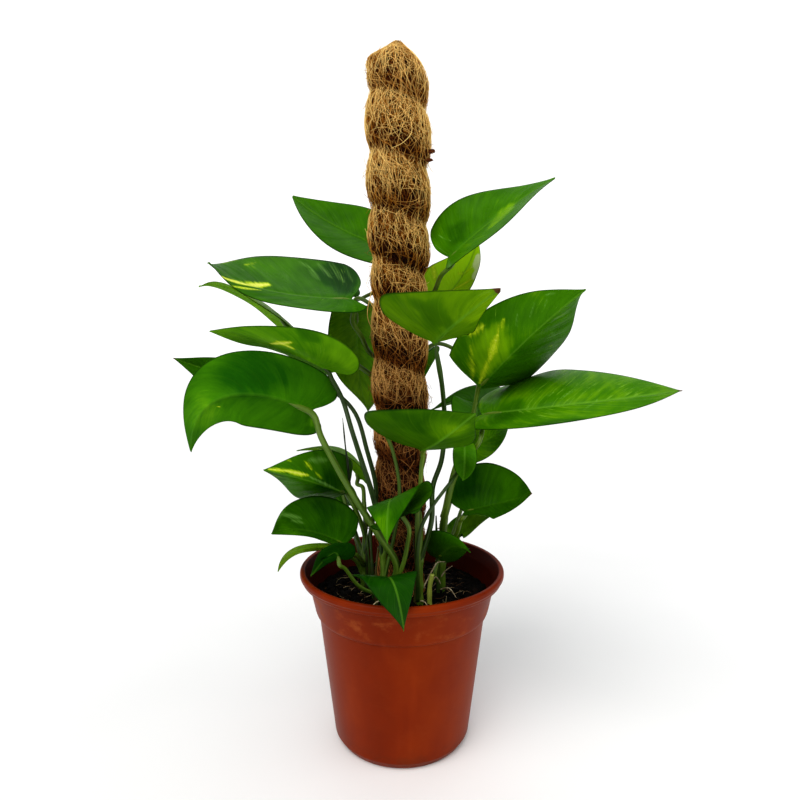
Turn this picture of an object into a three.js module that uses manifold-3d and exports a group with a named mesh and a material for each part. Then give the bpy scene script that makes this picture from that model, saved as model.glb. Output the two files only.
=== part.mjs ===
// A golden pothos climbing a coir pole in a plastic nursery pot.
// Millimetres, +Z up, origin at the centre of the pot's base. The side shown first looks along +Y.
import * as THREE from "three";
import { mergeVertices } from "three/addons/utils/BufferGeometryUtils.js";
import Module from "manifold-3d";

const wasm = await Module();
wasm.setup();

// Gap kept between pieces that touch on the real plant.
const SEAT_GAP = 0.3;
const SEATING_TRIES = 8;

// Pot, an injection-moulded 17 cm nursery pot.
const POT_HEIGHT = 145;
const LIP_RADIUS = 85;
const LIP_HEIGHT = 9;
const COLLAR_TOP_RADIUS = 78;
const COLLAR_FOOT_RADIUS = 72.5;
const COLLAR_FOOT_HEIGHT = 109;
const BODY_TOP_RADIUS = 69.5;
const BODY_FOOT_RADIUS = 57;
const FOOT_RADIUS = 53;
const FOOT_BEVEL_HEIGHT = 6;
const WALL = 1.6;
const FLOOR_THICKNESS = 2.4;
const FLOOR_LIFT = 2.6;
const BASE_DISC_RADIUS = 24;
const FOOT_RING_WIDTH = 7;
const POT_SIDES = 40;
const FOOT_NOTCHES = 8;
const NOTCH_WIDTH = 18;
const NOTCH_HEIGHT = 3.4;
const NOTCH_TURN = 0.35;
const DRAIN_HOLES = 8;
const DRAIN_RADIUS = 4;
const DRAIN_CIRCLE_RADIUS = 35;

// Soil, a little domed, its edge well below the lip.
const SOIL_TOP = 122;
const SOIL_DOME = 3;
const SOIL_SIDES = 28;

// Pole: a wooden stake wrapped in coir, which is tied round tightly so that it bulges between ties.
// Each tie runs a little lower on the right than on the left.
const STAKE_RADIUS = 9;
const STAKE_FOOT = 22;
const STAKE_TOP = 536;
const COIR_FOOT = 106;
const COIR_SIDES = 24;
const COIR_ROWS_PER_BULGE = 5;
const TIE_DEPTH = 0.17;
const TIE_TILT = 7;
const CROWN_HEIGHT = 562;
const POLE_LEAN = -3.5;
// Each bulge from the top down: the height of the tie below it, at the front, and its radius.
const BULGES = [
  { tie: 519, radius: 23 },
  { tie: 476, radius: 25 },
  { tie: 433, radius: 24.6 },
  { tie: 394, radius: 23.8 },
  { tie: 360, radius: 21.6 },
  { tie: 313, radius: 21.8 },
  { tie: 272, radius: 22.2 },
  { tie: 232, radius: 20.6 },
  { tie: 190, radius: 20.2 },
  { tie: 150, radius: 19.8 },
  { tie: 106, radius: 19.4 },
];
// The crown rounds off in rings of height below the top and share of the bulge's radius.
const CROWN_RINGS = [
  [1.2, 0.2],
  [4, 0.42],
  [10, 0.66],
  [18, 0.86],
  [28, 1],
  [36, 0.95],
];

// Leaf blades and stalks.
const BLADE_THICKNESS = 0.8;
const BLADE_ACROSS = 2;
const STALK_RADIUS = 1.9;
const STALK_SIDES = 5;
const STALK_STEPS = 8;
const STEM_RADIUS = 2.8;
const STEM_SIDES = 7;
const STEM_STEPS = 8;
const HOLE_CLEARANCE = 0.4;
const COIR_HOLE_CLEARANCE = 1.4;

// Half of a blade's outline, from the notch at the stalk round the lobe to the drip tip.
// Each row: where the side vein leaves the midrib, then where it ends, along and across,
// as shares of the blade's length and width.
const HALF_OUTLINE = [
  [0.0, 0.0, 0.0],
  [0.012, -0.085, 0.105],
  [0.035, -0.133, 0.23],
  [0.07, -0.085, 0.375],
  [0.13, 0.05, 0.47],
  [0.22, 0.21, 0.5],
  [0.33, 0.38, 0.468],
  [0.46, 0.55, 0.385],
  [0.6, 0.7, 0.278],
  [0.74, 0.83, 0.158],
  [0.88, 0.935, 0.056],
  [1.0, 1.0, 0.0],
];

// Rooted stems. Each stands in its own hole in the soil.
const STEMS = {
  vine_front_left: [[-13, -33, 88], [-14, -31, 125], [-15, -30, 165], [-16, -29, 196]],
  vine_front_right: [[13, -35, 88], [14, -33, 125], [14, -32, 165], [15, -31, 200]],
  vine_left: [[-34, -6, 88], [-32, -5, 125], [-31, -4, 160], [-30, -2, 188]],
  vine_right: [[34, -6, 88], [33, -7, 125], [33, -7, 165], [34, -7, 196]],
  vine_back_left: [[-9, 32, 88], [-9, 32, 130], [-7, 31, 250], [-7, 32, 350], [-9, 34, 380]],
  vine_back_right: [[13, 31, 88], [13, 31, 130], [12, 30, 250], [12, 31, 340], [13, 32, 380]],
};

// Every leaf: the midrib's base, middle and tip, the blade's full width, its roll about the midrib,
// how far each half lifts off flat (left, right, in degrees), how much its edges curl back, the length
// of its basal lobes, the difference between its halves, how much stouter than the rest its stalk is,
// if it is, and where its stalk passes from the stem.
const LEAVES = [
  {
    name: "leaf_01", vine: "vine_back_left",
    base: [-8, 57, 413], middle: [-61, 61, 436], tip: [-99, 70, 463],
    width: 75, roll: 40, lift: [15, 20], curl: 0.1, lobe: 0.5, skew: 0.05,
    stalk: [[-9, 33, 368], [-9, 44, 392]],
  },
  {
    name: "leaf_02", vine: "vine_back_right",
    base: [36, -28, 396], middle: [72, -33, 426], tip: [116, -23, 456],
    width: 73, roll: -30, lift: [10, 10], curl: -0.1, lobe: 0.4, skew: 0.15,
    stalk: [[13, 31, 345], [21, 22, 363], [27, 4, 374], [31, -18, 384]],
  },
  {
    name: "leaf_03", vine: "vine_back_right",
    base: [30, 25, 363], middle: [52, 39, 388], tip: [67, 46, 420],
    width: 53, roll: -35, lift: [30, 30], curl: -0.15, lobe: 0.9, skew: 0,
    stalk: [[12, 31, 325], [24, 21, 345]],
  },
  {
    name: "leaf_04", vine: "vine_front_right",
    base: [24, -58, 332], middle: [32, -86, 342], tip: [56, -148, 363],
    width: 76, roll: -2, lift: [7, 38], curl: -0.03, lobe: 0.25, skew: -0.28,
    stalk: [
      [14, -32, 160], [23, -33, 192], [24, -31, 219],
      [31, -28, 240], [33, -29, 268], [30, -46, 298],
    ],
  },
  {
    name: "leaf_05", vine: "vine_right",
    base: [62, -15, 296], middle: [93, -60, 337], tip: [125, -80, 368],
    width: 92, roll: -138, lift: [-29, -39], curl: -0.06, lobe: 0.13, skew: -0.11,
    stalk: [[33, -7, 150], [36, -4, 180], [39, -2, 209], [46, 0, 234], [55, 0, 254], [59, 0, 274]],
  },
  {
    name: "leaf_06", vine: "vine_right",
    base: [63, -21, 275], middle: [139, -61, 289], tip: [219, -24, 294],
    width: 67, roll: -55, lift: [-6, 20], curl: 0.3, lobe: 0.65, skew: 0.46,
    stalk: [
      [33, -7, 165], [34, -17, 187], [37, -23, 205],
      [42, -20, 223], [50, -19, 237], [61, -27, 255],
    ],
  },
  {
    name: "leaf_07", vine: "vine_front_right",
    base: [15, -43, 251], middle: [28, -90, 268], tip: [47, -112, 287],
    width: 79, roll: -5, lift: [-15, 30], curl: -0.15, lobe: 0.7, skew: -0.2,
    stalk: [[14, -33, 140], [12, -38, 195], [14, -39, 219], [15, -40, 238]],
  },
  {
    name: "leaf_08", vine: "vine_right",
    base: [62, 10, 268], middle: [59, 39, 279], tip: [25, 46, 270],
    width: 49, roll: 0, lift: [15, 35], curl: -0.1, lobe: 1, skew: -0.05,
    stalk: [[34, -7, 188], [42, 12, 214], [58, 22, 246]],
  },
  {
    name: "leaf_09", vine: "vine_front_right",
    base: [49, -27, 250], middle: [48, -37, 234], tip: [46, -43, 227],
    width: 20, roll: 5, lift: [20, 20], curl: -0.05, lobe: 1, skew: 0,
    stalk: [
      [13, -34, 128], [12, -41, 172], [15, -43, 191], [23, -44, 207],
      [32, -42, 219], [42, -34, 230], [48, -22, 241],
    ],
  },
  {
    name: "leaf_10", vine: "vine_right",
    base: [57, 8, 241], middle: [72, 2, 252], tip: [91, 16, 260],
    width: 32, roll: -45, lift: [15, 10], curl: 0, lobe: 1, skew: 0,
    stalk: [[34, -7, 180], [43, 3, 207], [51, 8, 227]],
  },
  {
    name: "leaf_11", vine: "vine_right",
    base: [50, -27, 199], middle: [82, -29, 207], tip: [94, -67, 223],
    width: 54, roll: -40, lift: [20, -5], curl: -0.4, lobe: 0.9, skew: 0.1,
    stalk: [[33, -7, 146], [40, -9, 165], [45, -17, 179], [47, -23, 190]],
  },
  {
    name: "leaf_12", vine: "vine_right",
    base: [48, 25, 160], middle: [61, 24, 169], tip: [76, 7, 185],
    width: 32, roll: -45, lift: [20, 25], curl: -0.1, lobe: 0.9, skew: 0,
    stalk: [[33, -7, 135], [40, 14, 150]],
  },
  {
    name: "leaf_13", vine: "vine_right",
    base: [30, -14, 155], middle: [39, -40, 174], tip: [52, -50, 173],
    width: 36, roll: -140, lift: [-10, -15], curl: 0.25, lobe: 0.9, skew: 0,
    stalk: [[33, -7, 130], [27, -14, 141]],
  },
  {
    name: "leaf_14", vine: "vine_front_left",
    base: [-14, -70, 158], middle: [-6, -93, 166], tip: [1, -92, 131],
    width: 46, roll: -15, lift: [-5, 20], curl: 0, lobe: 1, skew: -0.05,
    stalk: [[-13, -32, 128], [-14, -50, 140]],
  },
  {
    name: "leaf_15", vine: "vine_left",
    base: [-47, -6, 162], middle: [-83, -7, 161], tip: [-103, -9, 142],
    width: 46, roll: -25, lift: [5, 5], curl: 0.15, lobe: 0.6, skew: 0,
    stalk: [[-32, -5, 135], [-38, -6, 150]],
  },
  {
    name: "leaf_16", vine: "vine_front_left",
    base: [-49, -49, 169], middle: [-54, -53, 174], tip: [-71, -42, 151],
    width: 28, roll: -35, lift: [-10, -10], curl: -0.05, lobe: 1, skew: 0.05,
    stalk: [[-13, -32, 130], [-33, -42, 143], [-44, -48, 160]],
  },
  {
    name: "leaf_17", vine: "vine_left",
    base: [-45, -28, 172], middle: [-76, -39, 187], tip: [-95, -69, 194],
    width: 55, roll: 25, lift: [10, 25], curl: -0.25, lobe: 0.5, skew: -0.05,
    stalk: [[-31, -5, 145], [-37, -22, 161]],
  },
  {
    name: "leaf_18", vine: "vine_left",
    base: [-46, -8, 208], middle: [-72, -37, 225], tip: [-104, -50, 237],
    width: 60, roll: 110, lift: [-37, -35], curl: 0.01, lobe: 0.28, skew: 0,
    stalk: [[-31, -4, 150], [-31, -6, 172], [-36, -6, 188], [-41, -6, 199]],
  },
  {
    name: "leaf_19", vine: "vine_left",
    base: [-36, 32, 212], middle: [-59, 32, 233], tip: [-92, 27, 237],
    width: 46, roll: -5, lift: [15, 15], curl: 0, lobe: 0.8, skew: 0,
    stalk: [[-30, -1, 178], [-32, 10, 195], [-34, 22, 206]],
  },
  {
    name: "leaf_20", vine: "vine_front_left",
    base: [-70, -32, 280], middle: [-131, -58, 292], tip: [-167, -22, 245],
    width: 66, roll: -47, lift: [49, -9], curl: 0.19, lobe: 1.3, skew: 0.17, stout: 1.35,
    stalk: [
      [-13, -32, 132], [-4, -42, 159], [-18, -45, 185],
      [-35, -47, 213], [-51, -45, 241], [-62, -40, 261],
    ],
  },
  {
    name: "leaf_21", vine: "vine_back_left",
    base: [-39, -27, 365], middle: [-102, -44, 371], tip: [-137, -63, 388],
    width: 81, roll: 28, lift: [-8, 3], curl: -0.07, lobe: 0.75, skew: -0.47,
    stalk: [[-7, 31, 310], [-26, 13, 322], [-33, -8, 337], [-39, -17, 348]],
  },
  {
    name: "leaf_22", vine: "vine_back_left",
    base: [-94, 17, 345], middle: [-132, 11, 373], tip: [-167, 9, 377],
    width: 60, roll: -5, lift: [5, 5], curl: 0.25, lobe: 0.4, skew: -0.05,
    stalk: [[-7, 31, 290], [-28, 13, 306], [-61, 14, 328]],
  },
  {
    name: "leaf_23", vine: "vine_left",
    base: [-123, 8, 300], middle: [-157, 13, 307], tip: [-186, -3, 319],
    width: 41, roll: 58, lift: [25, 31], curl: 0.18, lobe: 0.71, skew: 0.23,
    stalk: [
      [-31, -4, 155], [-25, -12, 181], [-21, -17, 213],
      [-28, -17, 245], [-39, -12, 277], [-63, 0, 294],
    ],
  },
  {
    name: "leaf_24", vine: "vine_front_left",
    base: [-55, -26, 310], middle: [-94, -43, 329], tip: [-144, -41, 340],
    width: 72, roll: -20, lift: [-5, -5], curl: -0.4, lobe: 0.8, skew: -0.05,
    stalk: [
      [-15, -30, 165], [-18, -33, 189], [-23, -34, 213],
      [-31, -34, 239], [-39, -29, 263], [-47, -21, 287],
    ],
  },
  {
    name: "leaf_25", vine: "vine_back_left",
    base: [-39, 46, 360], middle: [-38, 45, 306], tip: [-29, 22, 272],
    width: 71, roll: 29, lift: [11, -2], curl: 0.18, lobe: 0.37, skew: 0.1,
    stalk: [[-9, 33, 350], [-24, 36, 362], [-40, 49, 370]],
  },
  {
    name: "leaf_26", vine: "vine_front_left",
    base: [-1, -54, 207], middle: [-9, -67, 218], tip: [-10, -109, 199],
    width: 53, roll: -20, lift: [5, -5], curl: -0.05, lobe: 1, skew: 0.15,
    stalk: [[-13, -32, 128], [0, -44, 159], [4, -47, 178], [5, -51, 193]],
  },
  {
    name: "leaf_27", vine: "vine_front_left",
    base: [-9, -31, 268], middle: [2, -37, 271], tip: [12, -36, 266],
    width: 20, roll: 60, lift: [5, 5], curl: -0.05, lobe: 1.1, skew: 0.1,
    stalk: [[-14, -31, 145], [-4, -33, 193], [-2, -32, 217], [-4, -31, 234], [-8, -30, 250]],
  },
  {
    name: "leaf_28", vine: "vine_left",
    base: [-85, 45, 285], middle: [-118, 60, 292], tip: [-150, 80, 275],
    width: 50, roll: 20, lift: [15, 15], curl: 0.1, lobe: 1, skew: 0,
    stalk: [[-31, -5, 150], [-45, 20, 180], [-66, 49, 232], [-81, 44, 262]],
  },
  {
    name: "leaf_29", vine: "vine_back_right",
    base: [74, 44, 314], middle: [96, 64, 331], tip: [120, 84, 338],
    width: 50, roll: -20, lift: [15, 15], curl: 0.1, lobe: 1, skew: 0,
    stalk: [[12, 31, 318], [30, 36, 330], [48, 40, 324], [62, 41, 309]],
  },
  {
    name: "leaf_30", vine: "vine_back_left",
    base: [-54, 56, 374], middle: [-84, 74, 384], tip: [-124, 90, 376],
    width: 44, roll: 15, lift: [15, 15], curl: 0.1, lobe: 1, skew: 0,
    stalk: [[-9, 34, 364], [-22, 48, 375], [-40, 55, 369]],
  },
  {
    name: "leaf_31", vine: "vine_back_right",
    base: [10, 72, 318], middle: [12, 100, 312], tip: [10, 120, 268],
    width: 52, roll: 0, lift: [15, 15], curl: 0.1, lobe: 1, skew: 0,
    stalk: [[12, 31, 285], [8, 46, 305]],
  },
  {
    name: "leaf_32", vine: "vine_right",
    base: [58, 50, 195], middle: [74, 66, 207], tip: [92, 86, 200],
    width: 36, roll: -10, lift: [15, 15], curl: 0.1, lobe: 1, skew: 0,
    stalk: [[33, -7, 140], [45, 20, 165], [54, 38, 183]],
  },
  {
    name: "leaf_33", vine: "vine_left",
    base: [-55, 45, 185], middle: [-74, 62, 196], tip: [-92, 80, 185],
    width: 40, roll: 10, lift: [15, 15], curl: 0.1, lobe: 1, skew: 0,
    stalk: [[-31, -5, 138], [-42, 22, 165]],
  },
];

const vec = (p) => new THREE.Vector3(...p);
const radians = THREE.MathUtils.degToRad;

function toSolid(geometry) {
  const bare = geometry.index ? geometry.clone() : geometry;
  bare.deleteAttribute("normal");
  bare.deleteAttribute("uv");
  const merged = mergeVertices(bare, 1e-4);
  const make = (triVerts) =>
    new wasm.Manifold(
      new wasm.Mesh({
        numProp: 3,
        vertProperties: merged.attributes.position.array,
        triVerts,
      }),
    );
  const faces = new Uint32Array(merged.index.array);
  const solid = make(faces);
  return solid.volume() > 0 ? solid : make(faces.reverse());
}

function toGeometry(solid) {
  const mesh = solid.getMesh();
  const geometry = new THREE.BufferGeometry();
  geometry.setAttribute("position", new THREE.BufferAttribute(mesh.vertProperties, 3));
  geometry.setIndex(new THREE.BufferAttribute(mesh.triVerts, 1));
  geometry.computeVertexNormals();
  return geometry;
}

function material(color, roughness) {
  return new THREE.MeshStandardMaterial({ color, roughness, metalness: 0 });
}

function named(name, geometry, look) {
  const mesh = new THREE.Mesh(geometry, look);
  mesh.name = name;
  return mesh;
}

// A round tube along a smooth curve through the points.
function tube(points, radius, sides, steps) {
  const section = new THREE.Shape();
  for (let i = 0; i < sides; i++) {
    const angle = (i / sides) * 2 * Math.PI;
    const x = radius * Math.cos(angle);
    const y = radius * Math.sin(angle);
    if (i === 0) section.moveTo(x, y);
    else section.lineTo(x, y);
  }
  section.closePath();
  const path = new THREE.CatmullRomCurve3(points.map(vec), false, "centripetal");
  return new THREE.ExtrudeGeometry(section, { steps, extrudePath: path });
}

// A solid of revolution about Z from its profile of radius and height.
function turned(profile, sides) {
  const points = profile.map(([r, z]) => new THREE.Vector2(r, z));
  return new THREE.LatheGeometry(points, sides).rotateX(Math.PI / 2);
}

function uprightCylinder(radius, bottom, top, sides) {
  const geometry = new THREE.CylinderGeometry(radius, radius, top - bottom, sides);
  return geometry.rotateX(Math.PI / 2).translate(0, 0, (top + bottom) / 2);
}

function potProfile() {
  const lipFoot = POT_HEIGHT - LIP_HEIGHT;
  const innerLip = LIP_RADIUS - 4.2;
  const channel = FOOT_RADIUS - FOOT_RING_WIDTH;
  const floorTop = FLOOR_LIFT + FLOOR_THICKNESS;
  return [
    [0, 0],
    [BASE_DISC_RADIUS, 0],
    [BASE_DISC_RADIUS + 2, FLOOR_LIFT],
    [channel - 1.5, FLOOR_LIFT],
    [channel, 0],
    [FOOT_RADIUS, 0],
    [BODY_FOOT_RADIUS, FOOT_BEVEL_HEIGHT],
    [BODY_TOP_RADIUS, COLLAR_FOOT_HEIGHT - 1],
    [COLLAR_FOOT_RADIUS - 1, COLLAR_FOOT_HEIGHT],
    [COLLAR_FOOT_RADIUS, COLLAR_FOOT_HEIGHT + 2.5],
    [COLLAR_TOP_RADIUS, lipFoot],
    [LIP_RADIUS - 2, lipFoot + 0.6],
    [LIP_RADIUS - 1.2, lipFoot + 3.2],
    [LIP_RADIUS, lipFoot + 4.4],
    [LIP_RADIUS, POT_HEIGHT - 1.6],
    [LIP_RADIUS - 1.4, POT_HEIGHT],
    [innerLip, POT_HEIGHT - 0.6],
    [COLLAR_TOP_RADIUS - WALL, lipFoot - 1],
    [COLLAR_FOOT_RADIUS - WALL, COLLAR_FOOT_HEIGHT + 3.5],
    [BODY_TOP_RADIUS - WALL, COLLAR_FOOT_HEIGHT + 1],
    [BODY_FOOT_RADIUS - WALL, floorTop + 3],
    [BODY_FOOT_RADIUS - WALL - 3, floorTop],
    [0, floorTop],
  ];
}

function makePot() {
  let pot = toSolid(turned(potProfile(), POT_SIDES));
  for (let i = 0; i < FOOT_NOTCHES; i++) {
    const angle = NOTCH_TURN + (i / FOOT_NOTCHES) * 2 * Math.PI;
    const notch = new THREE.BoxGeometry(FOOT_RING_WIDTH + 10, NOTCH_WIDTH, 2 * NOTCH_HEIGHT);
    notch.translate(FOOT_RADIUS, 0, 0).rotateZ(angle);
    pot = pot.subtract(toSolid(notch));
  }
  for (let i = 0; i < DRAIN_HOLES; i++) {
    const angle = (i / DRAIN_HOLES) * 2 * Math.PI;
    const hole = uprightCylinder(DRAIN_RADIUS, -1, FLOOR_LIFT + FLOOR_THICKNESS + 1, 10);
    hole.translate(
      DRAIN_CIRCLE_RADIUS * Math.cos(angle),
      DRAIN_CIRCLE_RADIUS * Math.sin(angle),
      0,
    );
    pot = pot.subtract(toSolid(hole));
  }
  return named("pot", toGeometry(pot), material(0x9c4a2c, 0.55));
}

// Rise and fall of the soil's surface, from its dome and from crumbs and hollows.
function soilHeight(x, y) {
  const r = Math.hypot(x, y) / BODY_TOP_RADIUS;
  const lumps = Math.sin(x * 0.31 + 1.3) * Math.cos(y * 0.27) + 0.6 * Math.sin(x * 0.17 - y * 0.41);
  return SOIL_TOP + SOIL_DOME * (1 - r * r) + 0.9 * lumps;
}

function makeSoil() {
  const gap = SEAT_GAP;
  const floorTop = FLOOR_LIFT + FLOOR_THICKNESS + gap;
  const bodyFoot = BODY_FOOT_RADIUS - WALL - gap;
  const bodyTop = BODY_TOP_RADIUS - WALL - gap;
  const collarFoot = COLLAR_FOOT_RADIUS - WALL - gap;
  const rimRadius = collarFoot + 2;
  const profile = [
    [0, floorTop],
    [bodyFoot - 3.2, floorTop],
    [bodyFoot - 0.2, floorTop + 3],
    [bodyTop, COLLAR_FOOT_HEIGHT + 1],
    [collarFoot - 0.1, COLLAR_FOOT_HEIGHT + 3.8],
    [rimRadius, SOIL_TOP],
    [rimRadius * 0.8, SOIL_TOP],
    [rimRadius * 0.6, SOIL_TOP],
    [rimRadius * 0.4, SOIL_TOP],
    [0, SOIL_TOP],
  ];
  const geometry = turned(profile, SOIL_SIDES);
  const spots = geometry.attributes.position;
  for (let i = 0; i < spots.count; i++) {
    if (Math.abs(spots.getZ(i) - SOIL_TOP) > 1e-3) continue;
    spots.setZ(i, soilHeight(spots.getX(i), spots.getY(i)));
  }
  let soil = toSolid(geometry);
  soil = soil.subtract(toSolid(uprightCylinder(STAKE_RADIUS + gap, STAKE_FOOT - gap, 200, 16)));
  soil = soil.subtract(
    toSolid(uprightCylinder(BULGES.at(-1).radius + COIR_HOLE_CLEARANCE, COIR_FOOT - gap, 200, COIR_SIDES)),
  );
  for (const points of Object.values(STEMS)) {
    const foot = vec(points[0]).add(new THREE.Vector3(0, 0, -gap)).toArray();
    const hole = tube([foot, ...points.slice(1)], STEM_RADIUS + HOLE_CLEARANCE, STEM_SIDES, STEM_STEPS);
    soil = soil.subtract(toSolid(hole));
  }
  return named("soil", toGeometry(soil), material(0x1a120d, 1));
}

function makeStake() {
  const stake = uprightCylinder(STAKE_RADIUS, STAKE_FOOT, STAKE_TOP, 16);
  return named("pole_stake", stake, material(0x8a6a45, 0.8));
}

// Rings of the coir from the top down, each with its height, its radius and its tilt.
function coirRings() {
  const rings = CROWN_RINGS.map(([depth, share]) => ({
    height: CROWN_HEIGHT - depth,
    radius: BULGES[0].radius * share,
    tilt: TIE_TILT * Math.min(1, depth / 14),
  }));
  let above = BULGES[0].tie;
  for (const { tie, radius } of BULGES.slice(1)) {
    for (let k = 0; k < COIR_ROWS_PER_BULGE; k++) {
      const share = k / COIR_ROWS_PER_BULGE;
      const bulge = Math.pow(Math.sin(Math.PI * share), 0.6);
      rings.push({
        height: above + (tie - above) * share,
        radius: radius * (1 - TIE_DEPTH + TIE_DEPTH * bulge),
        tilt: TIE_TILT,
      });
    }
    above = tie;
  }
  const last = BULGES.at(-1);
  rings.push({ height: COIR_FOOT, radius: last.radius * (1 - TIE_DEPTH / 2), tilt: 0 });
  return rings.filter((ring) => ring.height - ring.tilt > COIR_FOOT || ring.tilt === 0);
}

function makeCoir() {
  const rings = coirRings();
  const lean = (height) => (POLE_LEAN * height) / CROWN_HEIGHT;
  const positions = [lean(CROWN_HEIGHT), 0, CROWN_HEIGHT];
  for (const { height, radius, tilt } of rings)
    for (let j = 0; j < COIR_SIDES; j++) {
      const turn = (j / COIR_SIDES) * 2 * Math.PI;
      const x = Math.sin(turn);
      positions.push(lean(height) + radius * x, -radius * Math.cos(turn), height - tilt * x);
    }
  positions.push(lean(COIR_FOOT), 0, COIR_FOOT);
  const spot = (row, j) => 1 + row * COIR_SIDES + (j % COIR_SIDES);
  const lastRow = rings.length - 1;
  const foot = 1 + rings.length * COIR_SIDES;
  const index = [];
  for (let j = 0; j < COIR_SIDES; j++) {
    index.push(0, spot(0, j), spot(0, j + 1));
    for (let row = 0; row < lastRow; row++) {
      index.push(spot(row, j), spot(row + 1, j), spot(row + 1, j + 1));
      index.push(spot(row, j), spot(row + 1, j + 1), spot(row, j + 1));
    }
    index.push(foot, spot(lastRow, j + 1), spot(lastRow, j));
  }
  const geometry = new THREE.BufferGeometry();
  geometry.setAttribute("position", new THREE.Float32BufferAttribute(positions, 3));
  geometry.setIndex(index);
  const bore = uprightCylinder(STAKE_RADIUS + SEAT_GAP, 0, STAKE_TOP + SEAT_GAP, 16);
  const coir = toSolid(geometry).subtract(toSolid(bore));
  return named("coir_wrap", toGeometry(coir), material(0x9a6a35, 1));
}

// A blade's own axes: its chord, the side to the left of it and the normal of its upper face.
function bladeFrame(leaf) {
  const base = vec(leaf.base);
  const tip = vec(leaf.tip);
  const chord = tip.clone().sub(base);
  const length = chord.length();
  chord.normalize();
  const up = new THREE.Vector3(0, 0, 1);
  up.addScaledVector(chord, -up.dot(chord)).normalize();
  const side = up.clone().cross(chord);
  const roll = radians(leaf.roll);
  const normal = up.multiplyScalar(Math.cos(roll)).addScaledVector(side, Math.sin(roll));
  const bend = vec(leaf.middle).multiplyScalar(2);
  bend.addScaledVector(base, -0.5).addScaledVector(tip, -0.5);
  return { base, tip, bend, length, normal };
}

// The midrib's point, its direction, and the side and normal of the blade there.
function midribAt(frame, along) {
  const t = THREE.MathUtils.clamp(along, 0, 1);
  const curve = new THREE.QuadraticBezierCurve3(frame.base, frame.bend, frame.tip);
  const point = curve.getPoint(t);
  const tangent = frame.bend.clone().sub(frame.base).multiplyScalar(1 - t);
  tangent.addScaledVector(frame.tip.clone().sub(frame.bend), t).normalize();
  const side = frame.normal.clone().cross(tangent).normalize();
  const normal = tangent.clone().cross(side);
  return { point, tangent, side, normal };
}

// A point of the blade's middle surface, along and across it as shares of its length and width.
function bladePoint(leaf, frame, along, across) {
  const { point, tangent, side, normal } = midribAt(frame, along);
  if (along < 0) point.addScaledVector(tangent, along * leaf.lobe * frame.length);
  const left = across > 0;
  const reach = Math.abs(across) * leaf.width * (left ? 1 + leaf.skew : 1 - leaf.skew);
  const lift = radians(leaf.lift[left ? 0 : 1]);
  const share = reach / (leaf.width / 2);
  point.addScaledVector(side, (left ? 1 : -1) * reach * Math.cos(lift));
  const rise = reach * Math.sin(lift) - leaf.curl * (leaf.width / 2) * share * share;
  return point.addScaledVector(normal, rise);
}

// The blade's two faces share one layout of side veins, so that they never cross.
function makeBlade(leaf) {
  const frame = bladeFrame(leaf);
  const veins = HALF_OUTLINE.length;
  const points = [];
  const faces = [];
  const grid = {};
  const put = (key, along, across) => {
    grid[key] = points.length;
    points.push(bladePoint(leaf, frame, along, across));
  };
  for (let i = 0; i < veins; i++) {
    const [start, along, across] = HALF_OUTLINE[i];
    put(`${i}:0`, start, 0);
    for (const hand of [1, -1])
      for (let k = 1; k <= BLADE_ACROSS; k++) {
        const share = k / BLADE_ACROSS;
        if (i === 0 || i === veins - 1) grid[`${i}:${hand * k}`] = grid[`${i}:0`];
        else put(`${i}:${hand * k}`, start + (along - start) * share, hand * across * share);
      }
  }
  const face = (a, b, c) => {
    if (a !== b && b !== c && a !== c) faces.push([a, b, c]);
  };
  const edge = [];
  for (let i = 0; i + 1 < veins; i++)
    for (const hand of [1, -1]) {
      for (let k = 0; k < BLADE_ACROSS; k++) {
        const [a, b] = [grid[`${i}:${hand * k}`], grid[`${i}:${hand * (k + 1)}`]];
        const [c, d] = [grid[`${i + 1}:${hand * k}`], grid[`${i + 1}:${hand * (k + 1)}`]];
        if (hand > 0) {
          face(a, c, b);
          face(b, c, d);
        } else {
          face(a, b, c);
          face(b, d, c);
        }
      }
      const rim = [grid[`${i}:${hand * BLADE_ACROSS}`], grid[`${i + 1}:${hand * BLADE_ACROSS}`]];
      edge.push(hand > 0 ? rim.reverse() : rim);
    }
  return thicken(points, faces, edge);
}

// Gives a sheet of triangles its thickness: an upper face, a lower face and the rim between them.
function thicken(points, faces, edge) {
  const normals = points.map(() => new THREE.Vector3());
  for (const [a, b, c] of faces) {
    const u = points[b].clone().sub(points[a]);
    const w = points[c].clone().sub(points[a]);
    const n = u.cross(w);
    for (const i of [a, b, c]) normals[i].add(n);
  }
  const positions = [];
  for (const half of [0.5, -0.5])
    points.forEach((p, i) => {
      const shift = normals[i].clone().normalize().multiplyScalar(half * BLADE_THICKNESS);
      positions.push(...p.clone().add(shift).toArray());
    });
  const n = points.length;
  const index = [];
  for (const [a, b, c] of faces) index.push(a, b, c, n + c, n + b, n + a);
  for (const [a, b] of edge) index.push(a, n + a, b, b, n + a, n + b);
  const geometry = new THREE.BufferGeometry();
  geometry.setAttribute("position", new THREE.Float32BufferAttribute(positions, 3));
  geometry.setIndex(index);
  return toGeometry(toSolid(geometry));
}

// The stalk comes from below and bends to end just under the start of the blade's midrib.
function stalkPath(leaf, clear) {
  const { point, tangent, normal } = midribAt(bladeFrame(leaf), 0);
  const end = point.clone().addScaledVector(normal, -clear).addScaledVector(tangent, 1.5);
  const bend = end.clone().addScaledVector(tangent, -4).addScaledVector(normal, -3.5);
  return [...leaf.stalk, bend.toArray(), end.toArray()];
}

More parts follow.
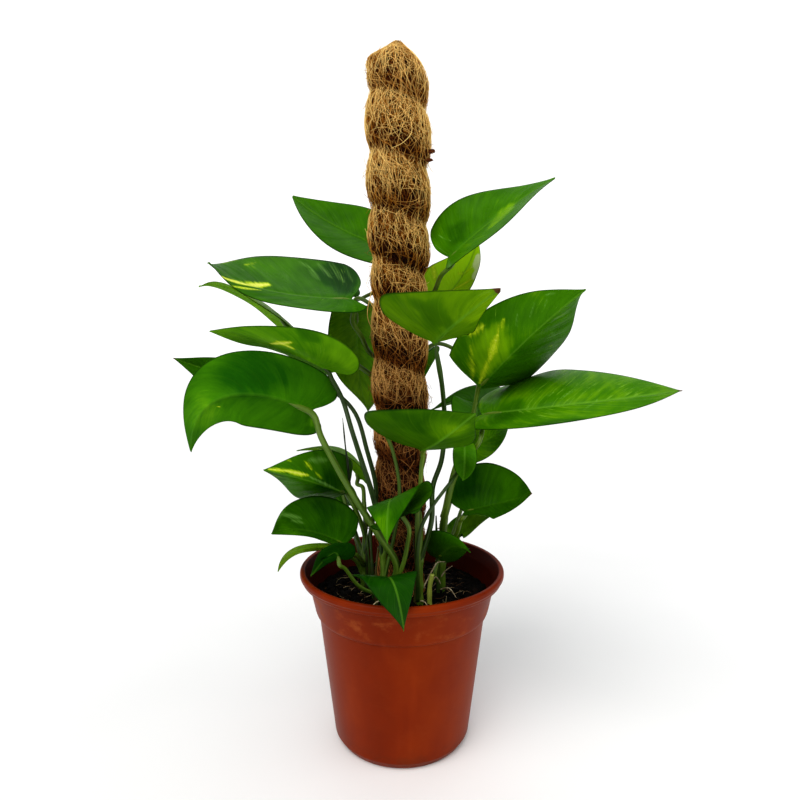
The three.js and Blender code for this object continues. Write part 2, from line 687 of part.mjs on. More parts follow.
// A stalk is seated against its blade by moving its end until only the seat gap is left.
function makeStalk(leaf, blade) {
  const radius = STALK_RADIUS * (leaf.stout ?? 1);
  let clear = radius + BLADE_THICKNESS / 2 + SEAT_GAP;
  let stalk;
  for (let i = 0; i < SEATING_TRIES; i++) {
    stalk = toSolid(tube(stalkPath(leaf, clear), radius, STALK_SIDES, STALK_STEPS));
    const gap = stalk.minGap(blade, 10);
    if (Math.abs(gap - SEAT_GAP) < SEAT_GAP / 10) break;
    clear += SEAT_GAP - gap;
  }
  return stalk;
}

function makeVine(name) {
  let vine = toSolid(tube(STEMS[name], STEM_RADIUS, STEM_SIDES, STEM_STEPS));
  for (const leaf of LEAVES.filter((one) => one.vine === name))
    vine = vine.add(makeStalk(leaf, toSolid(makeBlade(leaf))));
  return named(name, toGeometry(vine), material(0x5f7d26, 0.45));
}

const group = new THREE.Group();
group.add(makePot(), makeSoil(), makeStake(), makeCoir());
for (const name of Object.keys(STEMS)) group.add(makeVine(name));
const bladeLook = material(0x2f6f14, 0.35);
for (const leaf of LEAVES) group.add(named(leaf.name, makeBlade(leaf), bladeLook));

export default group;
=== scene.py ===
"""Looks of a golden pothos on a coir pole: fine leaves, stalks, coir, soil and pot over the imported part."""

import math
from collections import namedtuple

import bpy
import numpy as np
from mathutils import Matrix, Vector, noise


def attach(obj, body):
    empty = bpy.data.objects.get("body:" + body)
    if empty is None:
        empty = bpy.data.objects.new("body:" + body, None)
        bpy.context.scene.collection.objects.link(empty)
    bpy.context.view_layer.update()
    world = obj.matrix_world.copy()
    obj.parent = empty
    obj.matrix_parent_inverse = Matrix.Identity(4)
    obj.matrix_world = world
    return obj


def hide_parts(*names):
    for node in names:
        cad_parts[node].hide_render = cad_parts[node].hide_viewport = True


MM = 0.001
BODY = "root"
SEED = 20

# Pot, as in the part. Sizes and places are in millimetres, unless their line says otherwise.
POT_HEIGHT = 145
LIP_RADIUS = 85
LIP_HEIGHT = 9
COLLAR_TOP_RADIUS = 78
COLLAR_FOOT_RADIUS = 72.5
COLLAR_FOOT_HEIGHT = 109
BODY_TOP_RADIUS = 69.5
BODY_FOOT_RADIUS = 57
FOOT_RADIUS = 53
FOOT_BEVEL_HEIGHT = 6
WALL = 1.6
FLOOR_THICKNESS = 2.4
FLOOR_LIFT = 2.6
BASE_DISC_RADIUS = 24
FOOT_RING_WIDTH = 7
FOOT_NOTCHES = 8
NOTCH_WIDTH = 18
NOTCH_HEIGHT = 3.4
NOTCH_TURN = 0.35  # radians
DRAIN_HOLES = 8
DRAIN_RADIUS = 4
DRAIN_CIRCLE_RADIUS = 35
POT_SIDES = 144
DRAIN_SIDES = 24
# The pot's corners are rounded by this much, and shaded sharp above this angle in degrees.
CORNER_RADIUS = 0.9
SHARP_ANGLE = 38

# Soil, as in the part, with a gap to the pot, the wrap and the stake.
SOIL_TOP = 122
SOIL_DOME = 3
SOIL_SIDES = 150
SOIL_RINGS = 46
SEAT_GAP = 0.3
CRUMBS = 900
SOIL_FIBRES = 150
SOIL_FIBRE_POINTS = 10
SOIL_FIBRE_SIDES = 5

# Pole: the stake, and the wrap with tilted ties round it.
STAKE_RADIUS = 9
STAKE_FOOT = 22
COIR_FOOT = 106
CROWN_HEIGHT = 562
POLE_LEAN = -3.5
TIE_DEPTH = 0.22  # as a share of the lobe's radius
TIE_TILT = 7
TILT_DEPTH = 40  # below the top, where the tilt is whole
# From the top down, the height of each tie and the radius of the lobe above it.
BULGES = [
    (519, 23), (476, 25), (433, 24.6), (394, 23.8), (360, 21.6), (313, 21.8),
    (272, 22.2), (232, 20.6), (190, 20.2), (150, 19.8), (106, 19.4),
]
# The crown: depths below the top, each with the share of its lobe's radius there.
CROWN_RINGS = [
    (0, 0), (1.2, 0.08), (3.4, 0.2), (5.6, 0.36), (9.2, 0.58),
    (13.4, 0.76), (20.7, 0.94), (28, 1), (36, 0.96), (43, 0.84),
]
# The top's middle rises over those rings by this much, fading over this depth.
PEAK_RISE = 3.2
PEAK_DEPTH = 7
# A tuft of the matted crown: its height, half its thickness, how far it stands out and where, in radians.
TUFT_HEIGHT = 547
TUFT_SPREAD = 5
TUFT_REACH = 4.5
TUFT_TURN = -1.4
# Fibres: how many pieces hold them, how many are in each, and the points of a fibre and of a loose thread.
FIBRE_PIECES = 4
PIECE_FIBRES = 3000
FIBRE_POINTS = 7
THREAD_POINTS = 26
THREAD_SIDES = 5
# The matted core under the fibres.
CORE_SIDES = 96
CORE_ROWS = 220

# Stems, stalks and blades.
STEM_RADIUS = 2.8
STEM_POINTS = 90
STEM_SIDES = 18
STALK_RADIUS = 1.9
STALK_POINTS = 64
STALK_SIDES = 12
BLADE_THICKNESS = 0.7
BLADE_CELL = 1.7  # about the width of a mesh cell
VEIN_LEAN = 1.5  # side veins that a vein runs forward by on its way to the margin
# Half of a blade's outline: where a side vein leaves the midrib, where it ends along the blade, and how far
# out it ends, as shares of the length and the width.
HALF_OUTLINE = [
    (0.0, 0.0, 0.0), (0.012, -0.085, 0.105), (0.035, -0.133, 0.23), (0.07, -0.085, 0.375),
    (0.13, 0.05, 0.47), (0.22, 0.21, 0.5), (0.33, 0.38, 0.468), (0.46, 0.55, 0.385),
    (0.6, 0.7, 0.278), (0.74, 0.83, 0.158), (0.88, 0.935, 0.056), (1.0, 1.0, 0.0),
]
# The stems' paths from inside the soil to their tips.
STEMS = {
    "vine_front_left": [(-13, -33, 88), (-14, -31, 125), (-15, -30, 165), (-16, -29, 196)],
    "vine_front_right": [(13, -35, 88), (14, -33, 125), (14, -32, 165), (15, -31, 200)],
    "vine_left": [(-34, -6, 88), (-32, -5, 125), (-31, -4, 160), (-30, -2, 188)],
    "vine_right": [(34, -6, 88), (33, -7, 125), (33, -7, 165), (34, -7, 196)],
    "vine_back_left": [(-9, 32, 88), (-9, 32, 130), (-7, 31, 250), (-7, 32, 350), (-9, 34, 380)],
    "vine_back_right": [(13, 31, 88), (13, 31, 130), (12, 30, 250), (12, 31, 340), (13, 32, 380)],
}
# Each blade as the part has it: the stem it grows on, the base, middle and tip of its midrib, its width, its
# roll and the lift of its left and right half in degrees, how it curls, how far its lobes reach back, how
# uneven its halves are, its stalk's path, and how stout the stalk is.
Leaf = namedtuple("Leaf", "vine base middle tip width roll lift curl lobe skew stalk stout", defaults=[1])
LEAVES = {
    "leaf_01": Leaf(
        "vine_back_left", (-8, 57, 413), (-61, 61, 436), (-99, 70, 463), 75, 40, (15, 20), 0.1, 0.5, 0.05,
        [(-9, 33, 368), (-9, 44, 392)],
    ),
    "leaf_02": Leaf(
        "vine_back_right", (36, -28, 396), (72, -33, 426), (116, -23, 456),
        73, -30, (10, 10), -0.1, 0.4, 0.15,
        [(13, 31, 345), (21, 22, 363), (27, 4, 374), (31, -18, 384)],
    ),
    "leaf_03": Leaf(
        "vine_back_right", (30, 25, 363), (52, 39, 388), (67, 46, 420), 53, -35, (30, 30), -0.15, 0.9, 0,
        [(12, 31, 325), (24, 21, 345)],
    ),
    "leaf_04": Leaf(
        "vine_front_right", (24, -58, 332), (32, -86, 342), (56, -148, 363),
        76, -2, (7, 38), -0.03, 0.25, -0.28,
        [(14, -32, 160), (23, -33, 192), (24, -31, 219), (31, -28, 240), (33, -29, 268), (30, -46, 298)],
    ),
    "leaf_05": Leaf(
        "vine_right", (62, -15, 296), (93, -60, 337), (125, -80, 368),
        92, -138, (-29, -39), -0.06, 0.13, -0.11,
        [(33, -7, 150), (36, -4, 180), (39, -2, 209), (46, 0, 234), (55, 0, 254), (59, 0, 274)],
    ),
    "leaf_06": Leaf(
        "vine_right", (63, -21, 275), (139, -61, 289), (219, -24, 294), 67, -55, (-6, 20), 0.3, 0.65, 0.46,
        [(33, -7, 165), (34, -17, 187), (37, -23, 205), (42, -20, 223), (50, -19, 237), (61, -27, 255)],
    ),
    "leaf_07": Leaf(
        "vine_front_right", (15, -43, 251), (28, -90, 268), (47, -112, 287),
        79, -5, (-15, 30), -0.15, 0.7, -0.2,
        [(14, -33, 140), (12, -38, 195), (14, -39, 219), (15, -40, 238)],
    ),
    "leaf_08": Leaf(
        "vine_right", (62, 10, 268), (59, 39, 279), (25, 46, 270), 49, 0, (15, 35), -0.1, 1, -0.05,
        [(34, -7, 188), (42, 12, 214), (58, 22, 246)],
    ),
    "leaf_09": Leaf(
        "vine_front_right", (49, -27, 250), (48, -37, 234), (46, -43, 227), 20, 5, (20, 20), -0.05, 1, 0,
        [(13, -34, 128), (12, -41, 172), (15, -43, 191), (23, -44, 207), (32, -42, 219),
         (42, -34, 230), (48, -22, 241)],
    ),
    "leaf_10": Leaf(
        "vine_right", (57, 8, 241), (72, 2, 252), (91, 16, 260), 32, -45, (15, 10), 0, 1, 0,
        [(34, -7, 180), (43, 3, 207), (51, 8, 227)],
    ),
    "leaf_11": Leaf(
        "vine_right", (50, -27, 199), (82, -29, 207), (94, -67, 223), 54, -40, (20, -5), -0.4, 0.9, 0.1,
        [(33, -7, 146), (40, -9, 165), (45, -17, 179), (47, -23, 190)],
    ),
    "leaf_12": Leaf(
        "vine_right", (48, 25, 160), (61, 24, 169), (76, 7, 185), 32, -45, (20, 25), -0.1, 0.9, 0,
        [(33, -7, 135), (40, 14, 150)],
    ),
    "leaf_13": Leaf(
        "vine_right", (30, -14, 155), (39, -40, 174), (52, -50, 173), 36, -140, (-10, -15), 0.25, 0.9, 0,
        [(33, -7, 130), (27, -14, 141)],
    ),
    "leaf_14": Leaf(
        "vine_front_left", (-14, -70, 158), (-6, -93, 166), (1, -92, 131), 46, -15, (-5, 20), 0, 1, -0.05,
        [(-13, -32, 128), (-14, -50, 140)],
    ),
    "leaf_15": Leaf(
        "vine_left", (-47, -6, 162), (-83, -7, 161), (-103, -9, 142), 46, -25, (5, 5), 0.15, 0.6, 0,
        [(-32, -5, 135), (-38, -6, 150)],
    ),
    "leaf_16": Leaf(
        "vine_front_left", (-49, -49, 169), (-54, -53, 174), (-71, -42, 151),
        28, -35, (-10, -10), -0.05, 1, 0.05,
        [(-13, -32, 130), (-33, -42, 143), (-44, -48, 160)],
    ),
    "leaf_17": Leaf(
        "vine_left", (-45, -28, 172), (-76, -39, 187), (-95, -69, 194), 55, 25, (10, 25), -0.25, 0.5, -0.05,
        [(-31, -5, 145), (-37, -22, 161)],
    ),
    "leaf_18": Leaf(
        "vine_left", (-46, -8, 208), (-72, -37, 225), (-104, -50, 237), 60, 110, (-37, -35), 0.01, 0.28, 0,
        [(-31, -4, 150), (-31, -6, 172), (-36, -6, 188), (-41, -6, 199)],
    ),
    "leaf_19": Leaf(
        "vine_left", (-36, 32, 212), (-59, 32, 233), (-92, 27, 237), 46, -5, (15, 15), 0, 0.8, 0,
        [(-30, -1, 178), (-32, 10, 195), (-34, 22, 206)],
    ),
    "leaf_20": Leaf(
        "vine_front_left", (-70, -32, 280), (-131, -58, 292), (-167, -22, 245),
        66, -47, (49, -9), 0.19, 1.3, 0.17,
        [(-13, -32, 132), (-4, -42, 159), (-18, -45, 185), (-35, -47, 213), (-51, -45, 241),
         (-62, -40, 261)], stout=1.35,
    ),
    "leaf_21": Leaf(
        "vine_back_left", (-39, -27, 365), (-102, -44, 371), (-137, -63, 388),
        81, 28, (-8, 3), -0.07, 0.75, -0.47,
        [(-7, 31, 310), (-26, 13, 322), (-33, -8, 337), (-39, -17, 348)],
    ),
    "leaf_22": Leaf(
        "vine_back_left", (-94, 17, 345), (-132, 11, 373), (-167, 9, 377), 60, -5, (5, 5), 0.25, 0.4, -0.05,
        [(-7, 31, 290), (-28, 13, 306), (-61, 14, 328)],
    ),
    "leaf_23": Leaf(
        "vine_left", (-123, 8, 300), (-157, 13, 307), (-186, -3, 319), 41, 58, (25, 31), 0.18, 0.71, 0.23,
        [(-31, -4, 155), (-25, -12, 181), (-21, -17, 213), (-28, -17, 245), (-39, -12, 277), (-63, 0, 294)],
    ),
    "leaf_24": Leaf(
        "vine_front_left", (-55, -26, 310), (-94, -43, 329), (-144, -41, 340),
        72, -20, (-5, -5), -0.4, 0.8, -0.05,
        [(-15, -30, 165), (-18, -33, 189), (-23, -34, 213), (-31, -34, 239), (-39, -29, 263),
         (-47, -21, 287)],
    ),
    "leaf_25": Leaf(
        "vine_back_left", (-39, 46, 360), (-38, 45, 306), (-29, 22, 272), 71, 29, (11, -2), 0.18, 0.37, 0.1,
        [(-9, 33, 350), (-24, 36, 362), (-40, 49, 370)],
    ),
    "leaf_26": Leaf(
        "vine_front_left", (-1, -54, 207), (-9, -67, 218), (-10, -109, 199), 53, -20, (5, -5), -0.05, 1, 0.15,
        [(-13, -32, 128), (0, -44, 159), (4, -47, 178), (5, -51, 193)],
    ),
    "leaf_27": Leaf(
        "vine_front_left", (-9, -31, 268), (2, -37, 271), (12, -36, 266), 20, 60, (5, 5), -0.05, 1.1, 0.1,
        [(-14, -31, 145), (-4, -33, 193), (-2, -32, 217), (-4, -31, 234), (-8, -30, 250)],
    ),
    "leaf_28": Leaf(
        "vine_left", (-85, 45, 285), (-118, 60, 292), (-150, 80, 275), 50, 20, (15, 15), 0.1, 1, 0,
        [(-31, -5, 150), (-45, 20, 180), (-66, 49, 232), (-81, 44, 262)],
    ),
    "leaf_29": Leaf(
        "vine_back_right", (74, 44, 314), (96, 64, 331), (120, 84, 338), 50, -20, (15, 15), 0.1, 1, 0,
        [(12, 31, 318), (30, 36, 330), (48, 40, 324), (62, 41, 309)],
    ),
    "leaf_30": Leaf(
        "vine_back_left", (-54, 56, 374), (-84, 74, 384), (-124, 90, 376), 44, 15, (15, 15), 0.1, 1, 0,
        [(-9, 34, 364), (-22, 48, 375), (-40, 55, 369)],
    ),
    "leaf_31": Leaf(
        "vine_back_right", (10, 72, 318), (12, 100, 312), (10, 120, 268), 52, 0, (15, 15), 0.1, 1, 0,
        [(12, 31, 285), (8, 46, 305)],
    ),
    "leaf_32": Leaf(
        "vine_right", (58, 50, 195), (74, 66, 207), (92, 86, 200), 36, -10, (15, 15), 0.1, 1, 0,
        [(33, -7, 140), (45, 20, 165), (54, 38, 183)],
    ),
    "leaf_33": Leaf(
        "vine_left", (-55, 45, 185), (-74, 62, 196), (-92, 80, 185), 40, 10, (15, 15), 0.1, 1, 0,
        [(-31, -5, 138), (-42, 22, 165)],
    ),
}
# How each blade is coloured: its tone from dark to bright, the share of fine variegated flecks, how clear
# its midrib and veins are, how fresh a green its underside is, how dry its tip is, the tone of its stalk,
# and marks of four kinds: cream; white; pale marks, mostly painted sheen with a few pale veins of the
# blade's own; and places toned lighter or darker, mostly painted light and shade with a few patches of the
# blade's own tone. A mark is a stroke between two places, each along and across the blade as shares, then
# half its width in millimetres and its strength.
Tint = namedtuple(
    "Tint", "tone flecks rib fresh dry_tip stalk cream white pale toned",
    defaults=[0.45, 0.1, 0.5, 0, 0.3, 0.58, (), (), (), ()],
)
LOOKS = {
    "leaf_01": Tint(tone=0.5, rib=0.3),
    "leaf_02": Tint(tone=0.56, rib=0.3, pale=[
        (0.0, 0.4, 0.09, 0.15, 0.8, 0.8), (-0.11, 0.29, 0.0, 0.05, 0.8, 0.7),
    ], toned=[(0.11, 0.13, 0.24, 0.21, 10, -0.15), (0.39, -0.17, 0.61, -0.01, 8, 0.2)]),
    # Bright and fresh: painted light that shines through this blade from behind.
    "leaf_03": Tint(tone=1.4, fresh=1, flecks=0.3, white=[
        (0.79, -0.13, 0.61, -0.34, 6, 1), (0.62, -0.33, 0.43, -0.42, 5, 1),
    ], cream=[
        (0.26, 0.02, 0.46, -0.43, 3.4, 0.8), (0.5, 0.08, 0.66, -0.2, 3, 0.7),
        (0.38, 0.47, 0.21, 0.31, 4, 0.75),
    ], toned=[(0.27, 0.33, 0.22, 0.19, 4, -0.4)]),
    "leaf_04": Tint(tone=0.72, rib=0.5, dry_tip=1, stalk=0.3, pale=[
        (0.89, -0.05, 0.97, -0.02, 0.9, 0.5), (0.82, 0.01, 0.9, -0.01, 0.9, 0.4),
    ], toned=[(0.51, -0.24, 0.53, -0.06, 14, -0.2), (0.58, 0.29, 0.91, 0.03, 12, 0.15)]),
    "leaf_05": Tint(tone=0.57, stalk=0.68, flecks=0.4, rib=0.4, cream=[
        (0.02, 0.03, 0.2, 0.13, 4.4, 0.7), (0.18, 0.11, 0.34, 0.22, 5.5, 0.78),
        (0.34, 0.22, 0.44, 0.28, 4, 0.66), (0.02, 0.12, 0.16, 0.34, 6, 0.6), (0.2, 0.42, 0.32, 0.37, 6, 0.7),
        (0.41, -0.3, 0.42, -0.36, 1.3, 0.9),
    ], pale=[
        (0.46, 0.14, 0.53, 0.23, 1.8, 0.6), (0.57, 0.13, 0.67, 0.21, 1.8, 0.5),
        (0.68, 0.1, 0.77, 0.17, 1.6, 0.5), (0.58, -0.12, 0.49, -0.31, 2.4, 0.5),
        (0.75, 0.18, 0.81, 0.14, 1.8, 0.6),
    ], toned=[(0.12, 0.1, 0.36, 0.25, 16, 0.22), (0.36, -0.01, 0.42, -0.26, 12, -0.1)]),
    "leaf_06": Tint(tone=0.62, flecks=0.5, rib=0.6, dry_tip=1, stalk=0.68, pale=[
        (0.34, 0.06, 0.43, 0.15, 1.2, 0.6), (0.44, -0.2, 0.52, 0.03, 1.5, 0.6),
        (0.27, 0.1, 0.34, 0.15, 1.2, 0.5),
    ], toned=[(0.24, -0.47, 0.43, -0.44, 5, -0.2), (0.09, -0.28, 0.15, 0.05, 10, -0.15)]),
    "leaf_07": Tint(tone=0.5, rib=0.5, stalk=0.65, toned=[
        (0.51, -0.03, 0.77, 0.06, 12, 0.2), (0.48, -0.36, 0.44, -0.2, 14, -0.1),
    ]),
    "leaf_08": Tint(tone=0.47, stalk=0.68, rib=0.3),
    "leaf_09": Tint(tone=0.58, rib=0.4, stalk=0.3),
    "leaf_10": Tint(tone=0.6, stalk=0.68, rib=0.3),
    "leaf_11": Tint(tone=0.45, rib=0.12, flecks=0, dry_tip=0.8, stalk=0.68, toned=[
        (0.03, 0.29, 0.17, 0.41, 12, -0.12), (0.51, 0.07, 0.67, 0.18, 10, 0.12),
    ]),
    "leaf_12": Tint(tone=0.7, rib=0.2, flecks=0, pale=[(0.78, -0.21, 1.0, 0.0, 2.4, 0.9)]),
    "leaf_13": Tint(tone=0.45, rib=0.2, flecks=0),
    "leaf_14": Tint(tone=0.22, stalk=0.68, rib=0.4, toned=[(0.65, -0.26, 0.58, -0.09, 12, 0.1)]),
    "leaf_15": Tint(tone=1.0, fresh=0.6, rib=0.4, pale=[(0.2, 0.1, 0.8, 0.1, 4, 0.8)]),
    "leaf_16": Tint(tone=0.18, fresh=0.8, rib=0.3, stalk=0.55),
    "leaf_17": Tint(tone=0.44, rib=0.15, pale=[
        (0.78, -0.2, 0.52, -0.16, 2.4, 0.8), (0.66, -0.12, 0.49, -0.1, 2, 0.7),
        (0.85, -0.14, 0.71, -0.27, 3, 0.7),
    ], toned=[(0.79, -0.01, 0.66, 0.15, 9, 0.12), (0.34, -0.36, 0.2, -0.36, 10, -0.12)]),
    "leaf_18": Tint(tone=0.47, rib=0.35, stalk=0.45, cream=[
        (0.95, -0.02, 0.72, -0.06, 2.2, 0.85), (0.78, -0.05, 0.52, -0.07, 2.6, 0.94),
        (0.6, -0.24, 0.48, -0.15, 2.4, 0.72), (0.46, -0.14, 0.34, -0.08, 1.8, 0.59),
        (0.82, -0.19, 0.73, -0.18, 1.8, 0.59), (0.9, 0.06, 0.78, 0.08, 1.8, 0.51),
    ], pale=[(0.52, -0.06, 0.1, 0.0, 1.4, 0.9), (0.56, -0.26, 0.32, -0.35, 4, 0.7)], toned=[
        (0.34, 0.0, 0.17, -0.1, 12, -0.15), (0.72, 0.04, 0.51, 0.18, 8, 0.1),
    ]),
    "leaf_19": Tint(tone=0.72, rib=0.4),
    "leaf_20": Tint(tone=0.54, fresh=1, rib=0.12, stalk=0.55, toned=[
        (0.41, 0.21, 0.2, 0.25, 22, -0.16), (0.65, 0.09, 0.77, -0.15, 16, 0.15),
        (-0.05, -0.15, -0.09, -0.2, 6, 0.2),
    ], cream=[(0.58, -0.08, 0.56, -0.12, 0.9, 0.9)]),
    "leaf_21": Tint(tone=0.46, flecks=0.35, rib=0.25, cream=[
        (0.84, 0.15, 0.47, -0.07, 4.2, 1.1), (0.74, 0.24, 0.52, 0.07, 3, 0.9),
        (0.92, -0.09, 0.72, -0.26, 2.4, 0.7), (0.66, -0.22, 0.56, -0.3, 1.6, 0.6),
    ], pale=[
        (0.26, -0.45, 0.2, -0.39, 2.7, 0.6), (0.2, -0.39, 0.15, -0.23, 2.7, 0.6),
        (0.15, -0.46, 0.08, -0.27, 2.7, 0.6), (0.08, -0.47, 0.02, -0.22, 3.2, 0.54),
        (0.0, -0.44, -0.05, -0.22, 3.2, 0.48), (0.38, -0.34, 0.33, -0.2, 2.4, 0.42),
        (0.5, -0.36, 0.46, -0.24, 2.2, 0.3), (0.68, -0.16, 0.64, -0.17, 1.6, 0.48),
    ], toned=[(0.03, -0.46, 0.02, -0.14, 14, -0.3), (0.59, -0.27, 0.3, -0.46, 14, 0.12)]),
    "leaf_22": Tint(tone=0.84, fresh=0.7, rib=0.5, pale=[
        (0.6, 0.35, 0.28, 0.36, 3.0, 0.9), (0.28, 0.36, 0.06, 0.47, 2.4, 0.8),
    ]),
    "leaf_23": Tint(tone=0.45, dry_tip=0.8, stalk=0.25),
    "leaf_24": Tint(tone=0.72, fresh=0.85, flecks=0.35, rib=0.3, stalk=0.2, cream=[
        (0.54, 0.05, 0.41, 0.24, 3.4, 1), (0.5, 0.16, 0.37, 0.12, 3, 0.9), (0.62, -0.3, 0.55, -0.2, 1.8, 0.6),
    ], toned=[(0.11, 0.46, -0.01, 0.3, 12, 0.12), (0.39, 0.44, 0.28, 0.4, 5, -0.2)]),
    "leaf_25": Tint(tone=0.7, fresh=0.9, flecks=0.5, rib=0.4, cream=[
        (0.04, -0.22, 0.19, 0.26, 3.0, 0.4), (0.31, -0.4, 0.34, -0.38, 1.2, 0.6),
        (0.29, -0.3, 0.33, -0.25, 1.2, 0.6),
    ]),
    "leaf_26": Tint(tone=0.42, rib=0.4, stalk=0.58, toned=[(0.79, -0.16, 0.9, 0.0, 9, 0.2)]),
    # A small blade under leaf_07's fold, toned dark: painted shade.
    "leaf_27": Tint(tone=0.2, rib=0.3, flecks=0, stalk=0.5),
}
# Old growth on the stems: each piece's path, its radius at both ends, its tone and how brown it is.
OLD_GROWTH = {
    "vine_left": [
        ([(-43, 1, 200), (-44, -6, 226), (-46, -9, 247), (-48, -10, 271)], 1.5, 0.3, 0.05, 0.3),
        ([(-30, -8, 118), (-29, -8, 150), (-31, -6, 184)], 1.9, 0.7, 0.12, 0.4),
        ([(-26, -12, 118), (-27, -12, 150), (-29, -12, 176)], 1.5, 0.5, 0.25, 0.3),
    ],
    "vine_front_left": [
        ([(-22, -24, 118), (-24, -22, 150), (-26, -20, 186)], 1.9, 0.8, 0.15, 0.3),
        ([(-20, -30, 118), (-21, -29, 145), (-19, -28, 170)], 1.6, 0.5, 0.3, 0.5),
    ],
    "vine_front_right": [
        ([(22, -30, 118), (22, -31, 138), (24, -32, 149)], 2.1, 1.8, 1.0, 0.1),
        ([(10, -34, 118), (11, -33, 150), (9, -32, 178)], 1.6, 0.5, 0.2, 0.5),
    ],
    "vine_right": [
        ([(30, -11, 118), (29, -11, 150), (28, -10, 190)], 1.6, 0.6, 0.25, 0.3),
    ],
}
# Pale roots that leave the stems and hang over the soil.
ROOTS = {
    "vine_right": [
        [(32, -9, 137), (36, -14, 145), (41, -17, 150)],
        [(32, -10, 127), (36, -16, 131), (39, -20, 132), (44, -24, 126)],
        [(33, -8, 130), (27, -18, 141), (22, -27, 134)],
    ],
    "vine_front_right": [
        [(14, -33, 133), (25, -28, 152), (28, -26, 156), (35, -18, 154)],
        [(14, -34, 128), (18, -42, 130), (22, -48, 125)],
    ],
    "vine_front_left": [
        [(-13, -33, 128), (-20, -44, 131), (-28, -50, 125)],
    ],
}
# Single loose threads of the wrap.
THREADS = [
    [(-25, -20, 364), (-19, -24, 350), (-23, -20, 334)],
    [(-17, -24, 364), (-9, -26, 347), (-3, -26, 330)],
    [(-24, -14, 372), (-27, -18, 352), (-20, -22, 338), (-10, -24, 334)],
    [(-1, -22, 239), (5, -22, 234), (10, -20, 227)],
    [(10, -20, 238), (6, -23, 232), (1, -22, 226)],
    [(-18, -17, 478), (-15, -22, 471), (-8, -25, 463)],
    [(6, -24, 500), (7, -26, 488), (0, -27, 480), (-8, -25, 477)],
]
# Dark chips of husk caught in the wrap: place and size.
HUSK_CHIPS = [
    ((22.5, -9, 479), 3.6), ((21, -11, 472), 2.8), ((-22, -9, 405), 2.0), ((12, -21, 436), 1.8),
    ((-9, -23, 395), 1.6), ((17, 14, 500), 2.4), ((-15, 17, 455), 2.6), ((8, 22, 345), 2.2),
]
# Materials with one fine grain: its noise, the colours from low to high, the two ends of the roughness and
# the depth of the relief, then how the grain is stretched, how far it varies the tone that a piece brings,
# and the strength of the reflection.
Grain = namedtuple("Grain", "noise colours rough depth stretch spread specular", defaults=[None, 0, 0.5])
GRAINY_LOOKS = {
    "pale_root": Grain((300, 4), [(0.3, 120, 92, 58), (0.7, 214, 202, 170)], (0.6, 0.8), 0.15),
    "stake_wood": Grain(
        (420, 4, 0.6, 0.3), [(0.3, 92, 64, 38), (0.7, 168, 128, 84)], (0.6, 0.85), 0.3, stretch=(1, 1, 0.06),
    ),
    # The core's dark browns are painted shade deep between the fibres.
    "coir_core": Grain(
        (500, 5, 0.7, 0.6), [(0.35, 16, 6, 3), (0.55, 40, 18, 8), (0.75, 84, 46, 18)], (0.8, 0.95), 1.2,
        stretch=(1, 1, 0.5), specular=0.1,
    ),
    "soil_crumbs": Grain(
        (700, 4), [(0.0, 5, 3, 1), (0.5, 18, 11, 5), (0.8, 58, 35, 17), (0.97, 146, 116, 74)],
        (0.65, 0.9), 0.3, spread=0.2, specular=0.08,
    ),
    "soil_strands": Grain(
        (500, 4), [(0.0, 34, 20, 12), (0.5, 92, 66, 42), (1.0, 176, 158, 122)], (0.6, 0.85), 0.15,
        spread=0.3, specular=0.08,
    ),
}

# Studio: each sun's name, where it shines from, its spread in degrees, its strength and its colour, then the
# camera with its lens in millimetres, its place in metres and how far it looks down, in degrees.
SUNS = [
    ("key", (-0.45, -0.75, 1.0), 50, 1.9, (1, 0.98, 0.95)),
    ("side", (0.9, -0.5, 0.75), 60, 0.7, (1, 0.97, 0.93)),
    ("back", (0.1, 0.9, 1.0), 60, 0.5, (0.97, 0.99, 1)),
]
LENS = 27.9
CAMERA_PLACE = (-0.0016, -0.507, 0.335)
CAMERA_DIP = 5.7


def unit(v):
    return v / np.linalg.norm(v, axis=-1, keepdims=True)


def smooth_step(x, low, high):
    t = np.clip((x - low) / (high - low), 0, 1)
    return t * t * (3 - 2 * t)


def wander(points, scale, seed=0.0):
    """Smooth noise from -1 to 1 at each point, both in millimetres."""
    shift = Vector((seed * 7.31, seed * 3.17, seed * 5.71))
    return np.array([noise.noise(Vector(p) / scale + shift) for p in points])


def catmull(rows, count):
    """The rows as a smooth curve through them, sampled evenly by row number."""
    rows = np.asarray(rows, float)
    padded = np.vstack([2 * rows[0] - rows[1], rows, 2 * rows[-1] - rows[-2]])
    spots = np.linspace(0, len(rows) - 1, count)
    first = np.minimum(spots.astype(int), len(rows) - 2)
    t = (spots - first)[:, None]
    a, b, c, d = (padded[first + k] for k in range(4))
    return 0.5 * (
        2 * b + (c - a) * t + (2 * a - 5 * b + 4 * c - d) * t**2 + (3 * b - a - 3 * c + d) * t**3
    )


def smooth_path(points, count):
    """Evenly spaced points of the centripetal curve through the points."""
    p = np.asarray(points, float)
    p = np.vstack([2 * p[0] - p[1], p, 2 * p[-1] - p[-2]])
    t = np.linspace(0, 1, 25)[:, None]
    curve = []
    for a, b, c, d in zip(p, p[1:], p[2:], p[3:]):
        ab, bc, cd = (math.sqrt(np.linalg.norm(v)) for v in (b - a, c - b, d - c))
        leave = bc * ((b - a) / ab - (c - a) / (ab + bc) + (c - b) / bc)
        reach = bc * ((c - b) / bc - (d - b) / (bc + cd) + (d - c) / cd)
        curve.append(
            b + leave * t + (3 * (c - b) - 2 * leave - reach) * t**2
            + (2 * (b - c) + leave + reach) * t**3
        )
    curve = np.vstack([curve[0][:1]] + [part[1:] for part in curve])
    lengths = np.concatenate([[0], np.cumsum(np.linalg.norm(np.diff(curve, axis=0), axis=1))])
    wanted = np.linspace(0, lengths[-1], count)
    return np.stack([np.interp(wanted, lengths, curve[:, k]) for k in range(3)], axis=1)


